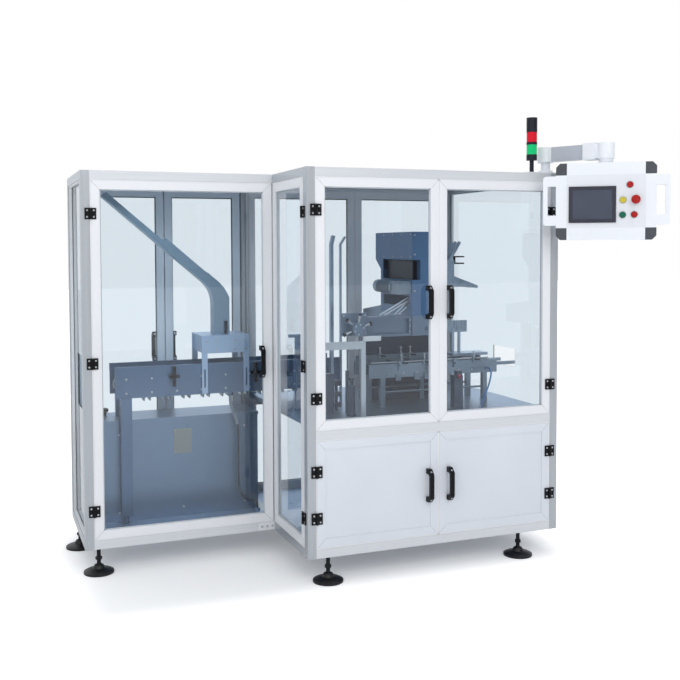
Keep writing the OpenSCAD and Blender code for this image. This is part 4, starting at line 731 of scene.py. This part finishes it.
# Near-black blades stand in the tower's mouth, their tone carrying the shade inside it as painted shade, and four
# pusher fingers lean from its side down to the gantry.
blade_painted_shade = powder_coat("dark_blade_painted_shade_enamel", "#171c2e", "#121624", 0.4)
copies("magazine_blades", bar, [(spot(x, 585, 1340), straight_on, (4, 300, 100 - 9 * (i % 3)))
                                       for i, x in enumerate(range(712, 860, 18))], blade_painted_shade, "machine")
rod = lathe("finger", [(0, 0), (1, 0), (1, 1), (0, 1)], 12)
fingers = []
for high, low in (((706, 480, 1204), (534, 440, 1124)), ((714, 477, 1193), (559, 440, 1123)),
                  ((716, 486, 1190), (612, 440, 1124)), ((722, 477, 1175), (633, 440, 1124))):
    lean = spot(*high) - spot(*low)
    fingers.append((spot(*low), facing(lean.normalized(), lean.cross(up).normalized()),
                    (4.5, 4.5, lean.length * 1000)))
# The fingers' polished steel is drawn near-white and barely metallic, a painted highlight in place of its reflections.
copies("pusher_fingers", rod, fingers,
       lined_metal("drawn_finger_painted_highlight", "#eef3fa", "#dde5ef", 0.15, 0.3, None, 2), "machine")
# The housing's near-black navy is partly its enamel and partly the shade under the track, painted in.
dress("drive_housing", powder_coat("dark_blue_housing_painted_shade_enamel", "#363f5c", "#2d3550", 0.34))


# Carton track: ground stainless rails with a lugged chain, clamps, guide bars and an air tube.
# The tube is blue polyurethane, pushed into a fitting on the near rail.
track_steel = lined_metal("ground_track_x", "#9fadbb", "#7f8e9e", 0.8, 0.34, "x", 3)
dress("carton_track outfeed_guides", track_steel)
dress("table_posts", powder_coat("dark_post_enamel", "#465469", "#3a475b", 0.38))
tube_blue = moulded("blue_polyurethane", "#1f6fb5", "#2c7fc4", 0.28, 2.0)
air_path = [
    (1078, 338, 850), (1078, 328, 850), (1077, 314, 848), (1073, 297, 842), (1065, 280, 830),
    (1052, 264, 810), (1036, 250, 784), (1018, 240, 755), (1000, 233, 728), (987, 230, 706),
    (981, 229, 694), (981, 229, 685)]
air_tube, air_l = cord_curve("air_line", air_path, 4, tube_blue)
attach(air_tube, "machine")
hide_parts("air_tube")
# A flat guide stands on the far rail and a round one over the near rail, with cross clamps and brackets.
solid_bar("far_guide", (446, 534, 886), (900, 541, 918), 1, track_steel, "machine")
copies("near_guide", lathe("near_guide", [(0, 0), (4.5, 0), (4.5, 640), (0, 640)]),
       [(spot(452, 358, 900), facing((1, 0, 0), (0, 1, 0)), (1, 1, 1))], zinc, "machine")
clamp_at = [(575, 530, 910), (690, 530, 910), (742, 530, 910), (612, 354, 892), (735, 354, 892), (1010, 354, 892)]
copies("clamp_blocks", bar, [(spot(*at), straight_on, (20, 18, 28)) for at in clamp_at], cast, "machine")
copies("clamp_studs", lathe("clamp_stud", [(0, 0), (3.2, 0), (3.2, 28), (7, 29), (7, 33), (0, 34)], 12),
       [(spot(x, y, z + 12), straight_on, (1, 1, 1)) for x, y, z in clamp_at], zinc, "machine")
copies("clamp_levers", bar, [(spot(x + 6, y - 18, z + 4), facing((0, 0, 1), (0.5, -0.866, 0)), (34, 6, 6))
                                    for x, y, z in clamp_at], polyamide, "machine")
copies("rail_brackets", bar, [(spot(x, 347, 827), straight_on, (26, 10, 32)) for x in (590, 690, 742)],
       cast, "machine")
copies("sensor_knob", knob, [(spot(827, 184, 841), facing(front, front_x), (0.6, 0.6, 0.6))],
       moulded("red_knob_polyamide", "#7a1f3f", "#9a2f55", 0.35, 2.0), "machine")
copies("rail_screws", cap_screw,
       [(spot(x, 352, 846), facing(front, front_x), (5, 5, 4)) for x in range(470, 1050, 75)], zinc, "machine")


# Stack lamp: moulded black base, ring and buzzer with fluted lenses, on a pole on the corner plate.
# The flutes are ribs inside each lens, 36 round it, that break up the light.
lamp_black = moulded("black_lamp_abs", "#181b24", "#232733", 0.4, 1.5, 0.25)
dress("lamp_body", lamp_black)
lamp_mid, flutes = spot(1140, 42, 0), 36.0
for node, colour, deep in (("lamp_red", "#f0102e", "#c80420"), ("lamp_green", "#00dc86", "#00b86c")):
    lens, tree, out = new_material(node.replace("lamp_", "") + "_polycarbonate_lens")
    place = add(tree, "ShaderNodeTexCoord")
    centred = add(tree, "ShaderNodeMapping", {"Vector": place.outputs["Object"], "Location": -lamp_mid})
    parts = add(tree, "ShaderNodeSeparateXYZ", {0: centred.outputs[0]})
    angle = add(tree, "ShaderNodeMath", {0: parts.outputs["Y"], 1: parts.outputs["X"]}, operation="ARCTAN2")
    turns = add(tree, "ShaderNodeMath", {0: angle.outputs[0], 1: flutes}, operation="MULTIPLY")
    flute = add(tree, "ShaderNodeMath", {0: turns.outputs[0]}, operation="SINE")
    share = add(tree, "ShaderNodeMapRange", {"Value": flute.outputs[0], "From Min": -1.0})
    tone = add(tree, "ShaderNodeMix", {"Factor": share.outputs[0], "A": linear(deep), "B": linear(colour)},
               data_type="RGBA")
    bump = add(tree, "ShaderNodeBump", {"Height": flute.outputs[0], "Strength": 0.4, "Distance": 0.001})
    surface = add(tree, "ShaderNodeBsdfPrincipled",
                  {"Base Color": tone.outputs["Result"], "Roughness": 0.3, "Normal": bump.outputs[0],
                   "Specular IOR Level": 0.25})
    tree.links.new(surface.outputs[0], out.inputs["Surface"])
    dress(node, lens)


# Swivelling arm: die-cast elbows and a coupling in white enamel on a grey anodised tube.
# The arm is one casting in the solids, so the tube's stretch takes its grey from its place along the arm.
white_coat = powder_coat("white_enamel", "#eff2f7", "#e6eaf0", 0.34)
dress("arm_bracket", white_coat)
arm_way, arm_from, tube_from, tube_to = math.radians(-63), (1235, 70), 0.045, 0.205
arm_coat, tree, out = new_material("white_casting_and_grey_tube")
place = add(tree, "ShaderNodeTexCoord")
back = Matrix.Rotation(-arm_way, 3, "Z")
along_arm = add(tree, "ShaderNodeMapping", {"Vector": place.outputs["Object"], "Rotation": (0, 0, -arm_way),
                                            "Location": -(back @ spot(*arm_from, 0))})
reach = add(tree, "ShaderNodeSeparateXYZ", {0: along_arm.outputs[0]})
after = add(tree, "ShaderNodeMath", {0: reach.outputs["X"], 1: tube_from}, operation="GREATER_THAN")
before = add(tree, "ShaderNodeMath", {0: reach.outputs["X"], 1: tube_to}, operation="LESS_THAN")
tube = add(tree, "ShaderNodeMath", {0: after.outputs[0], 1: before.outputs[0]}, operation="MULTIPLY")
peel = add(tree, "ShaderNodeTexNoise", {"Vector": place.outputs["Object"], "Scale": 1000 / 4.0})
tone = add(tree, "ShaderNodeMix", {"Factor": tube.outputs[0], "A": linear("#eceff4"), "B": linear("#b9bec7")},
           data_type="RGBA")
bump = add(tree, "ShaderNodeBump", {"Height": peel.outputs["Fac"], "Strength": 0.12, "Distance": 0.0006})
surface = add(tree, "ShaderNodeBsdfPrincipled", {"Base Color": tone.outputs["Result"], "Roughness": 0.36,
                                                 "Normal": bump.outputs[0]})
tree.links.new(surface.outputs[0], out.inputs["Surface"])
dress("control_arm", arm_coat)


# Control box: white enamelled extrusion with grey moulded corners and a brushed front plate.
# A touch screen, four push buttons and an emergency button stand on the plate; two bow grips turn the box.
box_turn, box_at, box_low, box_d = math.radians(-37), (1374.37, -203.54), 1486, 110
box_frame = Matrix.Rotation(box_turn, 3, "Z")


def on_box(x, y, z):
    """A place on the control box, in mm from the middle of its underside, in metres."""
    flat = box_frame @ Vector((x, y, 0))
    return spot(box_at[0] + flat.x, box_at[1] + flat.y, box_low + z)


box_front, box_right = box_frame @ Vector((0, -1, 0)), box_frame @ Vector((1, 0, 0))
dress("control_box control_grips", white_coat)
dress("control_corners", moulded("grey_corner_abs", "#44484d", "#52565c", 0.5, 1.5, 0.3))
dress("control_panel", lined_metal("brushed_front_plate", "#eaecf1", "#dfe2e8", 0.2, 0.36, "z", 2))
dress("control_screen", moulded("dark_bezel_abs", "#32323c", "#3f3f4a", 0.42, 1.5, 0.25))
for node, colour, deep in (("buttons_red", "#b3120d", "#9a0a0a"), ("button_yellow", "#d6c845", "#c4b533"),
                           ("button_green", "#0f6b54", "#0a5745")):
    dress(node, moulded(node + "_acetal", deep, colour, 0.26, 2.0))

# The screen's dark glass is drawn dark grey in soft 200 mm patches rather than black, standing in for its reflection:
# painted reflection; its clear coat adds real gloss.
display = mottled("display_glass_painted_reflection", "#3b3f4c", "#575d6c", 0.08, 200, coat=1.0)
copies("display", bar, [(on_box(-58, -60.3, 159), facing(box_front, box_right), (173, 131, 0.8))],
       display, "control_box")

collar = lathe("button_collar", [(14.1, 0), (16.5, 0), (16.5, 2), (15.4, 3.4), (14.1, 3.4), (14.1, 0)], 24)
copies("button_collars", collar,
       [(on_box(x, -box_d / 2, z), facing(box_front, box_right), (1, 1, 1))
        for x, z in ((104, 246), (123, 112), (75, 178), (73, 111))], zinc, "control_box")
copies("box_latch", bar, [(on_box(-221, -20, 120), facing(-box_right, up), (34, 18, 8))], polyamide,
       "control_box")
